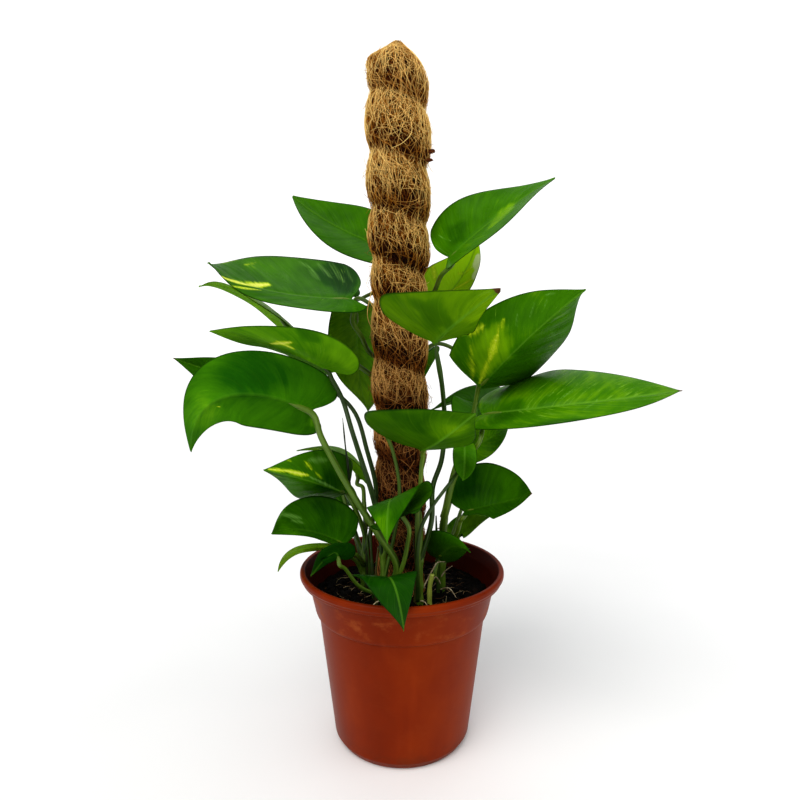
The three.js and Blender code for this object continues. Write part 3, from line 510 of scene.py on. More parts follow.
class Form:
    """A mesh in the making: points in millimetres, faces, a look for each face and values for each point."""

    def __init__(self):
        self.points, self.faces, self.looks, self.values, self.count = [], [], [], {}, 0

    def add(self, points, faces, look=0, **values):
        points = np.asarray(points, float)
        start = self.count
        self.points.append(points)
        self.faces += [tuple(start + i for i in face) for face in faces]
        self.looks += [look] * len(faces) if isinstance(look, int) else list(look)
        for key, value in values.items():
            value = np.asarray(value, float)
            if value.ndim == 0:
                value = np.full(len(points), value)
            self.values.setdefault(key, []).append(value)
        self.count += len(points)

    def piece(self, name, materials, replaces=(), smooth=True):
        mesh = bpy.data.meshes.new(name)
        points = np.vstack(self.points) * MM
        mesh.from_pydata(points.tolist(), [], self.faces)
        for material in materials:
            mesh.materials.append(material)
        mesh.polygons.foreach_set("material_index", self.looks)
        mesh.polygons.foreach_set("use_smooth", [smooth] * len(mesh.polygons))
        for key, parts in self.values.items():
            value = np.concatenate(parts)
            vector = value.ndim == 2
            layer = mesh.attributes.new(key, "FLOAT_VECTOR" if vector else "FLOAT", "POINT")
            layer.data.foreach_set("vector" if vector else "value", value.ravel())
        mesh.validate()
        obj = bpy.data.objects.new(name, mesh)
        bpy.context.scene.collection.objects.link(obj)
        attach(obj, BODY)
        if replaces:
            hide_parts(*replaces)
        return obj


class Look:
    """A material's nodes, each made by one short call that returns an output of it."""

    def __init__(self, name):
        self.material = bpy.data.materials.new(name)
        self.material.use_nodes = True
        self.tree = self.material.node_tree
        self.shader = next(n for n in self.tree.nodes if n.type == "BSDF_PRINCIPLED")

    def node(self, kind, inputs=(), output=0, **settings):
        made = self.tree.nodes.new("ShaderNode" + kind)
        for key, value in settings.items():
            setattr(made, key, value)
        for key, value in dict(inputs).items():
            self.give(made.inputs[key], value)
        return made.outputs[output]

    def give(self, socket, value):
        if isinstance(value, bpy.types.NodeSocket):
            self.tree.links.new(value, socket)
        else:
            socket.default_value = value

    def set(self, **values):
        for key, value in values.items():
            self.give(self.shader.inputs[key.replace("_", " ")], value)

    def place(self):
        return self.node("TexCoord", output="Object")

    def value(self, name):
        return self.node("Attribute", output="Fac", attribute_name=name)

    def vector(self, name):
        return self.node("Attribute", output="Vector", attribute_name=name)

    def stretched(self, vector, scale):
        return self.node("VectorMath", {0: vector, 1: scale}, operation="MULTIPLY")

    def part(self, vector, axis):
        return self.node("SeparateXYZ", {0: vector}, output=axis)

    def noise(self, vector, scale, detail=3.0, roughness=0.55, distortion=0.0):
        """A noise of about 0 to 1. The larger its scale, the finer its patches."""
        inputs = {
            "Vector": vector, "Scale": scale, "Detail": detail,
            "Roughness": roughness, "Distortion": distortion,
        }
        return self.node("TexNoise", inputs)

    def maths(self, operation, a, b=0.0, c=0.0, clamp=False):
        return self.node("Math", {0: a, 1: b, 2: c}, operation=operation, use_clamp=clamp)

    def times(self, a, b):
        return self.maths("MULTIPLY", a, b)

    def vary(self, value, noise, amount, clamp=False):
        """The value with a noise of 0 to 1 added, which raises and lowers it by up to half the amount."""
        return self.maths("MULTIPLY_ADD", noise, amount, self.maths("SUBTRACT", value, amount / 2), clamp)

    def between(self, value, low, high, to_low=0.0, to_high=1.0):
        inputs = {"Value": value, "From Min": low, "From Max": high, "To Min": to_low, "To Max": to_high}
        return self.node("MapRange", inputs, interpolation_type="SMOOTHSTEP")

    def mix(self, factor, a, b, blend="MIX"):
        made = self.tree.nodes.new("ShaderNodeMix")
        made.data_type, made.blend_type = "RGBA", blend
        self.give(made.inputs[0], factor)
        self.give(made.inputs[6], a)
        self.give(made.inputs[7], b)
        return made.outputs[2]

    def ramp(self, factor, *stops, screen=True):
        """Colours from stops of a place and three values: of 0 to 255 as on a screen, or else linear."""
        made = self.tree.nodes.new("ShaderNodeValToRGB")
        self.give(made.inputs[0], factor)
        ends = made.color_ramp.elements
        while len(ends) < len(stops):
            ends.new(0.5)
        for end, (spot, *colour) in zip(ends, stops):
            end.position, end.color = spot, rgba(*colour) if screen else (*colour, 1)
        return made.outputs[0]

    def bump(self, *heights):
        """Relief from pairs of a height from 0 to 1 and its depth in millimetres."""
        normal = None
        for height, depth in heights:
            inputs = {"Height": height, "Distance": depth * MM, "Strength": 1.0}
            if normal is not None:
                inputs["Normal"] = normal
            normal = self.node("Bump", inputs)
        self.set(Normal=normal)


def rgba(*screen):
    """A colour from its screen values of 0 to 255."""
    shares = (value / 255 for value in screen)
    return (*(c / 12.92 if c <= 0.04045 else ((c + 0.055) / 1.055) ** 2.4 for c in shares), 1)


def blade_look(upper):
    """The glossy upper face of a blade, or its matte underside."""
    look = Look("leaf_upper_face" if upper else "leaf_underside")
    blade, vein = look.vector("blade"), look.vector("vein")
    tone, flecks, dry, clear = (look.value(name) for name in ("tone", "flecks", "dry", "rib"))
    cream, white, pale = (look.value(name) for name in ("cream", "white", "pale"))
    # Colour drifts over the blade, with fine streaks that follow the side veins.
    drift = look.noise(blade, 38, 3)
    streak = look.noise(look.stretched(vein, (2.6, 1.1, 1)), 1.6, 4, 0.6)
    shade = look.vary(look.vary(tone, drift, 0.34), streak, 0.26, clamp=True)
    # The ramps' top greens reach the brightest blades; on leaf_03 they paint light shining through from
    # behind.
    if upper:
        green = look.ramp(shade, (0.0, 4, 38, 0), (0.3, 26, 76, 0), (0.6, 66, 122, 0), (1.0, 156, 204, 14))
    else:
        fresh = look.ramp(shade, (0.0, 4, 46, 2), (0.35, 30, 88, 4), (0.65, 70, 130, 8), (1.0, 134, 190, 24))
        green = look.ramp(shade, (0.0, 12, 48, 1), (0.35, 42, 88, 1), (0.65, 80, 128, 2), (1.0, 138, 182, 10))
        green = look.mix(look.value("fresh"), green, fresh)
    # Side veins: a fine line along each, where the vein number passes a whole number.
    number = look.part(vein, 0)
    near = look.maths("ABSOLUTE", look.maths("SUBTRACT", look.maths("FRACT", number), 0.5))
    line = look.between(near, 0.45, 0.5)
    seen = look.times(look.times(line, clear), 0.16 if upper else 0.22)
    green = look.mix(seen, green, rgba(100, 158, 22) if upper else rgba(120, 162, 34))
    # Painted sheen: greyish pale bands and marks, soft at their ends, mostly a painted highlight,
    # with a few pale veins of the blade's own.
    fine = look.noise(look.stretched(vein, (9, 0.8, 1)), 1.5, 4, 0.6)
    sheen_and_pale_mask = look.vary(pale, fine, 1.3)
    sheen_and_pale_mask = look.times(look.between(sheen_and_pale_mask, 0.2, 0.95), look.between(pale, 0.02, 0.5))
    green = look.mix(look.times(sheen_and_pale_mask, 0.55), green, rgba(132, 184, 88))
    # Variegation: fine flecks, cream patches that are ragged along the side veins, and bleached ones.
    fleck = look.noise(look.stretched(vein, (6.5, 1.5, 1)), 1.7, 5, 0.65, 0.3)
    fleck = look.vary(fleck, look.noise(blade, 55, 2), 0.35)
    edge = look.maths("SUBTRACT", 0.82, look.times(flecks, 0.4))
    flecked = look.between(look.maths("SUBTRACT", fleck, edge), -0.03, 0.07)
    ragged = look.noise(blade, 420, 4, 0.65)
    wide = look.noise(look.stretched(vein, (3.2, 0.9, 1)), 1.6, 3, 0.6)
    grainy = look.maths("MULTIPLY_ADD", wide, 1.1, look.times(fine, 0.7))
    patched = look.maths("ADD", look.maths("SUBTRACT", cream, 0.9), grainy)
    patched = look.times(look.between(patched, 0.25, 0.75), look.between(cream, 0.0, 0.16))
    tint = look.maths("MULTIPLY_ADD", ragged, 0.5, look.maths("MULTIPLY_ADD", cream, 0.6, -0.16))
    yellow = look.ramp(tint, (0.3, 120, 160, 10), (0.5, 184, 208, 34), (0.7, 232, 236, 110))
    green = look.mix(look.times(flecked, 0.45), green, rgba(140, 188, 66))
    green = look.mix(look.times(patched, 0.95), green, yellow)
    green = look.mix(look.between(look.vary(white, ragged, 0.6), 0.2, 0.6), green, rgba(196, 214, 158))
    # The midrib, paler for a millimetre on each side.
    off = look.maths("ABSOLUTE", look.part(blade, 1))
    rib = look.between(off, 0.0013, 0.0004)
    green = look.mix(look.times(rib, clear), green, rgba(104, 156, 44))
    # A thin dark margin, and dry brown at the tip.
    out = look.maths("ABSOLUTE", look.part(vein, 1))
    green = look.mix(look.between(out, 0.95, 1.0, 0, 0.75), green, rgba(14, 44, 6))
    crumble = look.vary(dry, look.noise(blade, 260, 3), 0.5)
    colour = look.mix(look.between(crumble, 0.45, 0.7), green, rgba(92, 66, 40))
    glossy, dull = (0.26, 0.4) if upper else (0.5, 0.66)
    rough = look.between(look.noise(blade, 90, 3), 0.3, 0.7, glossy, dull)
    look.set(Base_Color=colour, Roughness=rough, Specular_IOR_Level=0.055 if upper else 0.03)
    look.bump((line, 0.05), (streak, 0.35), (look.noise(blade, 1500, 2), 0.03))
    return look.material


class Blade:
    """A blade's middle surface, as the part has it: a curved midrib with a half lifted on each side."""

    def __init__(self, leaf):
        self.leaf = leaf
        self.base, middle, self.tip = (np.array(v, float) for v in (leaf.base, leaf.middle, leaf.tip))
        self.bend = 2 * middle - 0.5 * self.base - 0.5 * self.tip
        chord = self.tip - self.base
        self.length = np.linalg.norm(chord)
        chord /= self.length
        up = np.array([0, 0, 1.0])
        up = unit(up - (up @ chord) * chord)
        roll = math.radians(leaf.roll)
        self.up = up * math.cos(roll) + np.cross(up, chord) * math.sin(roll)

    def midrib(self, along):
        """Points of the midrib, with its direction, the side to the left and the normal of the upper face."""
        t = np.clip(along, 0, 1)[..., None]
        point = (1 - t) ** 2 * self.base + 2 * t * (1 - t) * self.bend + t**2 * self.tip
        tangent = unit((self.bend - self.base) * (1 - t) + (self.tip - self.bend) * t)
        side = unit(np.cross(self.up, tangent))
        return point, tangent, side, np.cross(tangent, side)

    def surface(self, along, across):
        leaf = self.leaf
        point, tangent, side, normal = self.midrib(along)
        point = point + tangent * (np.minimum(along, 0) * leaf.lobe * self.length)[..., None]
        left = across > 0
        reach = np.abs(across) * leaf.width * np.where(left, 1 + leaf.skew, 1 - leaf.skew)
        lift = np.radians(np.where(left, *leaf.lift))
        half = leaf.width / 2
        rise = reach * np.sin(lift) - leaf.curl * half * (reach / half) ** 2
        out = np.where(left, 1, -1) * reach * np.cos(lift)
        return point + side * out[..., None] + normal * rise[..., None]


def stroke(leaf, length, along, across, mark):
    """How near each place is to a mark's stroke: 1 on its line, 0 from its edge outwards."""
    size = np.array([length, leaf.width])
    spot = np.stack([along, across], axis=-1) * size
    start, end, half = np.array(mark[:2]) * size, np.array(mark[2:4]) * size, mark[4]
    way = end - start
    share = np.clip((spot - start) @ way / (way @ way), 0, 1)
    off = np.linalg.norm(spot - start - share[..., None] * way, axis=-1)
    taper = 1 - 0.55 * (2 * share - 1) ** 2
    return np.clip(1 - off / (1.7 * half * taper), 0, 1)


def grid_faces(grid):
    """The cells of a grid of point numbers as faces. Where a row is one point, they are triangles."""
    faces = []
    for i in range(grid.shape[0] - 1):
        for j in range(grid.shape[1] - 1):
            face = (grid[i, j], grid[i, j + 1], grid[i + 1, j + 1], grid[i + 1, j])
            faces.append(tuple(dict.fromkeys(int(k) for k in face)))
    return faces


def point_normals(points, faces):
    normals = np.zeros_like(points)
    for face in faces:
        a, b, c = points[list(face[:3])]
        normals[list(face)] += np.cross(b - a, c - a)
    return normals / np.maximum(np.linalg.norm(normals, axis=1, keepdims=True), 1e-9)


def blade_relief(leaf, number, along, across, share, vein):
    """How far the upper face and the underside are off the middle surface.

    The blade swells between its veins, waves towards its margin and sinks in along the midrib, which stands
    out below.
    """
    reach, off = np.abs(share), np.abs(across) * leaf.width
    size = leaf.width / 80
    swell = 0.22 * size * np.sin(math.pi * vein) ** 2 * np.sqrt(reach * (1 - reach)) * 2
    groove = np.exp(-((off / 1.8) ** 2)) * smooth_step(1 - along, 0.02, 0.5)
    wave = 1.1 * size * reach**2 * np.sin(9 * along + 2.4 * number + 1.3 * np.sign(share))
    relief = (swell + wave - 0.5 * groove).ravel()
    rib = (1.3 * np.exp(-((off / 1.5) ** 2)) * smooth_step(1 - along, 0.0, 0.8)).ravel()
    thin = 0.5 * BLADE_THICKNESS * (1 - 0.5 * np.broadcast_to(reach**8, along.shape)).ravel()
    return relief + thin, relief - thin - rib


def shell_faces(quads):
    """The points that the faces use, then the upper faces, those under them and a rim between the two."""
    used = sorted({i for face in quads for i in face})
    index = {old: new for new, old in enumerate(used)}
    n = len(used)
    faces = [tuple(index[i] for i in face) for face in quads]
    under = [tuple(n + index[i] for i in face[::-1]) for face in quads]
    sides = {(a, b) for face in faces for a, b in zip(face, face[1:] + face[:1])}
    rim = [(b, a, n + a, n + b) for a, b in sorted(sides) if (b, a) not in sides]
    return used, faces, under, rim


def face_values(leaf, tint, length, along, across):
    """What the blade's colours follow at each place: its marks, and what is the same all over."""
    values = {kind: np.zeros(along.shape) for kind in ("cream", "white", "pale")}
    for kind, value in values.items():
        for mark in getattr(tint, kind):
            np.maximum(value, mark[-1] * stroke(leaf, length, along, across, mark), out=value)
    # Places toned lighter or darker: mostly painted light and shade, a few patches of the blade's own tone.
    tone = np.zeros(along.shape)
    for mark in tint.toned:
        tone += mark[-1] * smooth_step(stroke(leaf, length, along, across, mark), 0, 0.8)
    values["tone"] = tone + tint.tone
    for kind in ("flecks", "rib", "fresh"):
        values[kind] = np.full(along.shape, float(getattr(tint, kind)))
    values["dry"] = tint.dry_tip * smooth_step(along, 0.93, 1.0)
    return values


def make_leaf(name, number, materials):
    leaf = LEAVES[name]
    blade = Blade(leaf)
    count = int(1.4 * blade.length / BLADE_CELL) // 2 * 2
    columns = int(0.55 * leaf.width / BLADE_CELL)
    start, end, across = (row[:, None] for row in catmull(HALF_OUTLINE, count).T)
    share = (np.arange(-columns, columns + 1) / columns)[None, :]
    share = np.sign(share) * np.abs(share) ** 1.15
    # Side veins leave the midrib and turn towards the tip near the margin.
    reach = np.abs(share)
    along = start + (end - start) * (0.8 * reach + 0.2 * reach**2)
    across = across * share
    middle = blade.surface(along, across)
    grid = np.arange(middle.shape[0] * middle.shape[1]).reshape(middle.shape[:2])
    grid[0, :], grid[-1, :] = grid[0, columns], grid[-1, columns]
    quads = grid_faces(grid)
    flat = middle.reshape(-1, 3)
    normals = point_normals(flat, quads)
    if np.mean(np.sum(normals * blade.midrib(along)[3].reshape(-1, 3), axis=1)) < 0:
        normals = -normals
        quads = [face[::-1] for face in quads]

    vein = np.linspace(0, len(HALF_OUTLINE) - 1, count)[:, None] - VEIN_LEAN * reach
    rises = blade_relief(leaf, number, along, across, share, vein)
    upper, lower = (flat + normals * rise[:, None] for rise in rises)
    used, faces, under, rim = shell_faces(quads)
    values = face_values(leaf, LOOKS.get(name, Tint()), blade.length, along, across)
    seed = 3.7 * number + 0 * along
    place = np.stack([along * blade.length * MM, across * leaf.width * MM, seed], axis=-1)
    follow = np.stack([vein, share + 0 * along, seed], axis=-1)
    values = {"blade": place, "vein": follow, **values}
    for key, value in values.items():
        value = value.reshape(-1, *value.shape[2:])[used]
        values[key] = np.concatenate([value, value])
    form = Form()
    form.add(
        np.vstack([upper[used], lower[used]]), faces + under + rim,
        look=[0] * len(faces) + [1] * (len(under) + len(rim)), **values,
    )
    form.piece(name + "_blade", materials, [name])


def tube_faces(rows, sides):
    """The faces between the rings of a tube."""
    i, j = np.meshgrid(np.arange(rows - 1), np.arange(sides), indexing="ij")
    k = (j + 1) % sides
    faces = np.stack([i * sides + j, i * sides + k, (i + 1) * sides + k, (i + 1) * sides + j], axis=-1)
    return faces.reshape(-1, 4)


def tube_ends(rows, sides):
    """The faces that close a tube at its start and its end."""
    return [tuple(range(sides))[::-1], tuple((rows - 1) * sides + j for j in range(sides))]


def sweep(path, radius, sides, facing=None, groove=0.0, wings=0.0):
    """A tube along the path, and how far along and around it each point is.

    Its side towards facing has a groove between two low wings.
    """
    path = np.asarray(path, float)
    n = len(path)
    radius = np.broadcast_to(radius, (n,))
    groove, wings = np.broadcast_to(groove, (n,)), np.broadcast_to(wings, (n,))
    run = unit(np.gradient(path, axis=0))
    across = np.zeros_like(run)
    first = np.array(facing if facing is not None else (0.3, 0.2, 1.0), float)
    if np.linalg.norm(np.cross(first, run[0])) < 0.1:
        first = np.array((1.0, 0.1, 0.0))
    for i in range(n):
        first = unit(first - (first @ run[i]) * run[i])
        across[i] = first
    other = np.cross(run, across)
    turn = np.linspace(0, 2 * math.pi, sides, endpoint=False)
    from_face = np.abs((turn + math.pi) % (2 * math.pi) - math.pi)
    shape = (
        1
        - groove[:, None] * np.exp(-((from_face / 0.55) ** 2))[None, :]
        + wings[:, None] * np.exp(-(((from_face - 0.8) / 0.3) ** 2))[None, :]
    )
    spread = radius[:, None] * shape
    ring = across[:, None] * np.cos(turn)[None, :, None] + other[:, None] * np.sin(turn)[None, :, None]
    points = (path[:, None] + ring * spread[..., None]).reshape(-1, 3)
    length = np.concatenate([[0], np.cumsum(np.linalg.norm(np.diff(path, axis=0), axis=1))])
    along, around = np.repeat(length, sides), np.tile(turn, n)
    return points, tube_faces(n, sides).tolist() + tube_ends(n, sides), along, around


def grainy_look(name):
    """A rough material with one fine grain in its colour, its roughness and its relief."""
    row = GRAINY_LOOKS[name]
    look = Look(name)
    place = look.place()
    grain = look.noise(look.stretched(place, row.stretch) if row.stretch else place, *row.noise)
    shade = look.vary(look.value("tone"), grain, row.spread, clamp=True) if row.spread else grain
    look.set(Base_Color=look.ramp(shade, *row.colours), Roughness=look.between(grain, 0.3, 0.7, *row.rough))
    look.set(Specular_IOR_Level=row.specular)
    look.bump((grain, row.depth))
    return look.material


def stem_look():
    """Green stems and stalks with fine lengthwise fibres, and brown scars."""
    look = Look("stem_green")
    run = look.vector("run")
    tone, brown = look.value("tone"), look.value("brown")
    fibre = look.noise(look.stretched(run, (1.0, 40, 40)), 12, 3)
    blotch = look.noise(look.place(), 90, 3)
    shade = look.maths("MULTIPLY_ADD", fibre, 0.6, look.maths("SUBTRACT", tone, 0.34))
    shade = look.vary(shade, blotch, 0.3, clamp=True)
    colour = look.ramp(shade, (0.0, 18, 38, 8), (0.35, 56, 86, 12), (0.65, 98, 128, 26), (1.0, 164, 176, 78))
    ragged = look.vary(brown, look.noise(look.place(), 240, 4), 0.6)
    colour = look.mix(look.between(ragged, 0.3, 0.7), colour, rgba(84, 52, 28))
    look.set(Base_Color=colour, Roughness=look.between(fibre, 0.3, 0.7, 0.38, 0.55))
    look.bump((fibre, 0.25), (look.noise(look.place(), 900, 2), 0.05))
    return look.material


def stalk_points(leaf, blade):
    """The stalk's path from its stem to under the start of the midrib, and on along it."""
    point, tangent, _, normal = (v[0] for v in blade.midrib(np.array([0.0])))
    end = point + 1.5 * tangent - (STALK_RADIUS * leaf.stout + 0.5 * BLADE_THICKNESS) * normal
    bend = end - 4 * tangent - 3.5 * normal
    run_on = blade.midrib(np.array([0.12]))
    under = run_on[0][0] - 0.9 * run_on[3][0]
    return [*leaf.stalk, bend, end, under]


def add_stem(form, path, radius, sides, tone, brown, **shape):
    """Adds a green tube with its tone, and how brown it is, at each point of the path."""
    points, faces, along, around = sweep(path, radius, sides, **shape)
    run = np.stack([along, np.cos(around), np.sin(around)], axis=1) * MM * (1, 3, 3)
    tone, brown = (np.repeat(np.broadcast_to(v, len(path)), sides) for v in (tone, brown))
    form.add(points, faces, run=run, tone=tone, brown=brown)


def add_root(form, points, count, thick, thin, sides):
    """Adds a pale root that tapers from thick to thin."""
    points, faces, _, _ = sweep(smooth_path(points, count), np.linspace(thick, thin, count), sides)
    form.add(points, faces, look=1, run=np.zeros((len(points), 3)), tone=0.5, brown=0.0)


def add_stalk(form, leaf, tone, stem):
    """Adds a blade's stalk, its groove turned to the stem."""
    path = smooth_path(stalk_points(leaf, Blade(leaf)), STALK_POINTS)
    part = np.linspace(0, 1, len(path))
    to_blade = np.linalg.norm(path - path[-9], axis=1)
    radius = STALK_RADIUS * leaf.stout * (1.1 - 0.2 * part)
    # A slight swelling where the stalk bends to carry the blade.
    radius = radius + 0.3 * np.exp(-((to_blade / 7) ** 2))
    radius = radius * (1 - 0.75 * smooth_step(part, 0.93, 1.0))
    start = np.exp(-((part / 0.05) ** 2))
    radius = (radius + 0.8 * start) * min(1.0, 0.65 + leaf.width / 180)
    fade = smooth_step(1 - part, 0.25, 0.75)
    add_stem(
        form, path, radius, STALK_SIDES, tone - 0.08 + 0.16 * part, 0.3 * start,
        facing=stem[len(stem) // 2] - path[len(path) // 2], groove=0.12 + 0.2 * fade, wings=0.05 + 0.3 * fade,
    )


def make_vine(name, materials, rng):
    form = Form()
    stem = smooth_path(STEMS[name], STEM_POINTS)
    leaves = [key for key, leaf in LEAVES.items() if leaf.vine == name]
    joins = [np.array(LEAVES[key].stalk[0], float) for key in leaves]
    share = np.linspace(0, 1, len(stem))
    radius = STEM_RADIUS * (1.12 - 0.3 * share)
    scar = np.zeros(len(stem))
    for join in joins:
        near = np.exp(-((np.linalg.norm(stem - join, axis=1) / 3.0) ** 2))
        radius = radius + 0.7 * near
        scar = np.maximum(scar, near)
    # The stem ends in the furled sheath of its next leaf.
    left = (1 - share) * np.linalg.norm(np.diff(stem, axis=0), axis=1).sum()
    radius = radius * np.clip(left / 22, 0.02, 1) ** 0.6
    add_stem(form, stem, radius, STEM_SIDES, 0.56 + 0.3 * share - 0.15, 0.35 * scar, groove=0.06)
    for key in leaves:
        add_stalk(form, LEAVES[key], LOOKS.get(key, Tint()).stalk, stem)
    reach = np.linspace(0, 1, 30)
    for points, first, last, tone, brown in OLD_GROWTH.get(name, []):
        radius = first + (last - first) * reach + 0.12 * np.sin(17 * reach)
        path = smooth_path(points, len(reach))
        add_stem(form, path, radius, 10, tone + 0.1 * reach, brown, groove=0.25, wings=0.2)
    for points in ROOTS.get(name, []):
        add_root(form, points, 20, 0.75, 0.3, 8)
    # Short aerial roots below each joint, on the side of the pole.
    for join in joins:
        towards = unit(np.array([0, 0, join[2] - 3]) - join + np.array([0, 0, 1e-6]))
        for _ in range(2):
            heading = unit(towards + rng.normal(0, 0.5, 3))
            reach = rng.uniform(3, 9)
            foot = join - np.array([0, 0, rng.uniform(1, 4)])
            bend, end = foot + heading * reach * 0.6, foot + heading * reach + (0, 0, -2)
            add_root(form, [foot, bend, end], 8, 0.8, 0.25, 7)
    form.piece(name + "_stems", materials, [name])


def lobe_share(height):
    """How far down its lobe a height is: 0 at the tie above to 1 at the tie below."""
    share = np.interp(CROWN_HEIGHT - height, [0, CROWN_HEIGHT - BULGES[0][0]], [0.1, 1])
    above = BULGES[0][0]
    for tie, _ in BULGES[1:]:
        inside = (height <= above) & (height >= tie)
        share = np.where(inside, (above - height) / (above - tie), share)
        above = tie
    return share


def coir_radius(height):
    """The wrap's radius at a height, before the tilt of its ties."""
    height = np.asarray(height, float)
    depth = CROWN_HEIGHT - height
    smooth = catmull(CROWN_RINGS, 200)
    radius = np.interp(depth, smooth[:, 0], smooth[:, 1]) * BULGES[0][1]
    above = BULGES[0][0]
    for tie, bulge in BULGES[1:]:
        inside = (height <= above) & (height >= tie)
        share = np.clip((above - height) / (above - tie), 0, 1)
        swell = bulge * (1 - TIE_DEPTH + TIE_DEPTH * np.sin(math.pi * share**1.15) ** 0.5)
        radius = np.where(inside, swell, radius)
        above = tie
    return np.where(height < BULGES[-1][0], BULGES[-1][1] * (1 - TIE_DEPTH), radius)


def tuft(height, turn):
    """How far the matted crown stands out in its tuft."""
    high = np.exp(-(((height - TUFT_HEIGHT) / TUFT_SPREAD) ** 2))
    near = np.cos(turn - TUFT_TURN) * 0.5 + 0.5
    return TUFT_REACH * high * near**3


def coir_point(height, turn, lift=0.0):
    """A point on the wrap, or lifted off it, at a height and a turn from the front."""
    depth = CROWN_HEIGHT - height
    tilt = TIE_TILT * np.clip(depth / TILT_DEPTH, 0, 1)
    radius = coir_radius(height) + lift + tuft(height, turn)
    x = POLE_LEAN * height / CROWN_HEIGHT + radius * np.sin(turn)
    peak = PEAK_RISE * np.exp(-((depth / PEAK_DEPTH) ** 2))
    z = np.maximum(height - tilt * np.sin(turn) + peak, COIR_FOOT)
    return np.stack([x, -radius * np.cos(turn), z], axis=-1)


def coir_look():
    """Dry fibre: golden, with painted light towards the top; ruddy, damp, with painted shade near the soil.
    """
    look = Look("coir_fibre")
    place = look.place()
    height = look.part(place, 2)
    tone = look.value("tone")
    grain = look.noise(place, 420, 4)
    patch = look.noise(place, 40, 3)
    shade = look.vary(look.vary(tone, grain, 0.24), patch, 0.5, clamp=True)
    # Painted light and shade: lighter towards the top, darker low down where the leaves shade the wrap.
    shade = look.maths("ADD", shade, look.between(height, 0.36, 0.55, -0.09, 0.13))
    shade = look.maths("ADD", shade, look.between(height, 0.3, 0.22, 0, -0.07), clamp=True)
    golden = look.ramp(shade, (0.0, 50, 18, 4), (0.3, 120, 62, 12), (0.6, 196, 130, 42), (1.0, 254, 218, 138))
    ruddy = look.ramp(shade, (0.0, 24, 7, 2), (0.35, 86, 38, 12), (0.7, 152, 88, 38), (1.0, 236, 180, 112))
    colour = look.mix(look.between(height, 0.2, 0.42), ruddy, golden)
    look.set(Base_Color=colour, Roughness=look.between(grain, 0.2, 0.8, 0.62, 0.9), Specular_IOR_Level=0.15)
    look.bump((grain, 0.15))
    return look.material


def make_coir_core(material):
    """The matted mass under the fibres, dark as painted shade deep in the wrap."""
    heights = np.linspace(COIR_FOOT, CROWN_HEIGHT, CORE_ROWS)
    turns = np.linspace(0, 2 * math.pi, CORE_SIDES, endpoint=False)
    height, turn = np.meshgrid(heights, turns, indexing="ij")
    flat = coir_point(height, turn).reshape(-1, 3)
    lumps = 0.9 * wander(flat, 9, 1) + 0.5 * wander(flat, 3.2, 2)
    points = coir_point(height, turn, lumps.reshape(height.shape) - 1.3)
    points[0, :, 2] = COIR_FOOT
    points[-1] = points[-1].mean(axis=0) - (0, 0, 0.4)
    foot = tube_ends(CORE_ROWS, CORE_SIDES)[0]
    form = Form()
    form.add(points.reshape(-1, 3), tube_faces(CORE_ROWS, CORE_SIDES).tolist() + [foot])
    form.piece("coir_core", [material], ["coir_wrap"])


def thin_tubes(paths, radius, sides=3):
    """Many thin tubes at once: paths and radius have a row for each."""
    count, steps = paths.shape[:2]
    run = unit(np.gradient(paths, axis=1))
    out = paths * (1, 1, 0)
    other = unit(np.cross(run, out + (0.013, 0.017, 0.011)))
    across = np.cross(other, run)
    turn = np.linspace(0, 2 * math.pi, sides, endpoint=False)
    ring = across[:, :, None] * np.cos(turn)[:, None] + other[:, :, None] * np.sin(turn)[:, None]
    points = paths[:, :, None] + ring * radius[:, :, None, None]
    starts = np.arange(count) * steps * sides
    faces = (tube_faces(steps, sides)[None] + starts[:, None, None]).reshape(-1, 4).tolist()
    ends = tube_ends(steps, sides)
    for start in starts.tolist():
        faces += [tuple(start + v for v in end) for end in ends]
    return points.reshape(-1, 3), faces


def coir_paths(rng, count, steps):
    """Fibres matted over the wrap, some along it and some round it, each a little curled, and their tones."""
    height = rng.uniform(COIR_FOOT + 2, CROWN_HEIGHT - 3, count)
    turn = rng.uniform(0, 2 * math.pi, count)
    length = rng.uniform(10, 40, count)
    down = rng.random(count) < 0.74
    heading = np.where(down, rng.normal(math.pi / 2, 0.34, count), rng.normal(0, 0.5, count))
    heading = heading * rng.choice([-1, 1], count)
    curl = rng.normal(0, 0.035, count)
    # Bright strands lie on top, dark ones deep in the mat, their dark partly painted shade.
    top = rng.random(count) < 0.32
    bright = np.where(top, rng.uniform(0.85, 1.3, count), rng.uniform(-0.05, 0.6, count))
    lift = np.where(top, rng.uniform(0.7, 1.6, count), rng.uniform(-1.1, 0.8, count))
    sway, phase = rng.uniform(0.1, 0.5, count), rng.uniform(0, 6.3, count)
    loose = np.where(rng.random(count) < 0.06, rng.uniform(1.5, 5.5, count), 0.0)
    rows, tones = np.zeros((count, steps, 3)), np.zeros((count, steps))
    for s in range(steps):
        share = s / (steps - 1)
        raised = lift + sway * np.sin(phase + 5 * share) + loose * smooth_step(share, 0.45, 1.0)
        rows[:, s] = coir_point(height, turn, raised)
        lobe = lobe_share(height)
        # Painted light and shade: each lobe is bright over its shoulder
        #         # and dark where it tucks under to its tie.
        painted_lobe_shade = 0.22 * smooth_step(lobe, 0.0, 0.15) - 0.6 * smooth_step(lobe, 0.35, 0.95)
        tones[:, s] = 0.12 + 0.8 * bright + painted_lobe_shade
        step = length / (steps - 1)
        radius = np.maximum(coir_radius(height), 5)
        turn = turn + step * np.cos(heading) / radius
        height = height + step * np.sin(heading)
        over = height > CROWN_HEIGHT - 1.5
        heading = np.where(over, -heading, heading)
        height = np.clip(height, COIR_FOOT + 1, CROWN_HEIGHT - 1.5)
        heading = heading + curl * step + rng.normal(0, 0.12, count)
    return rows, tones


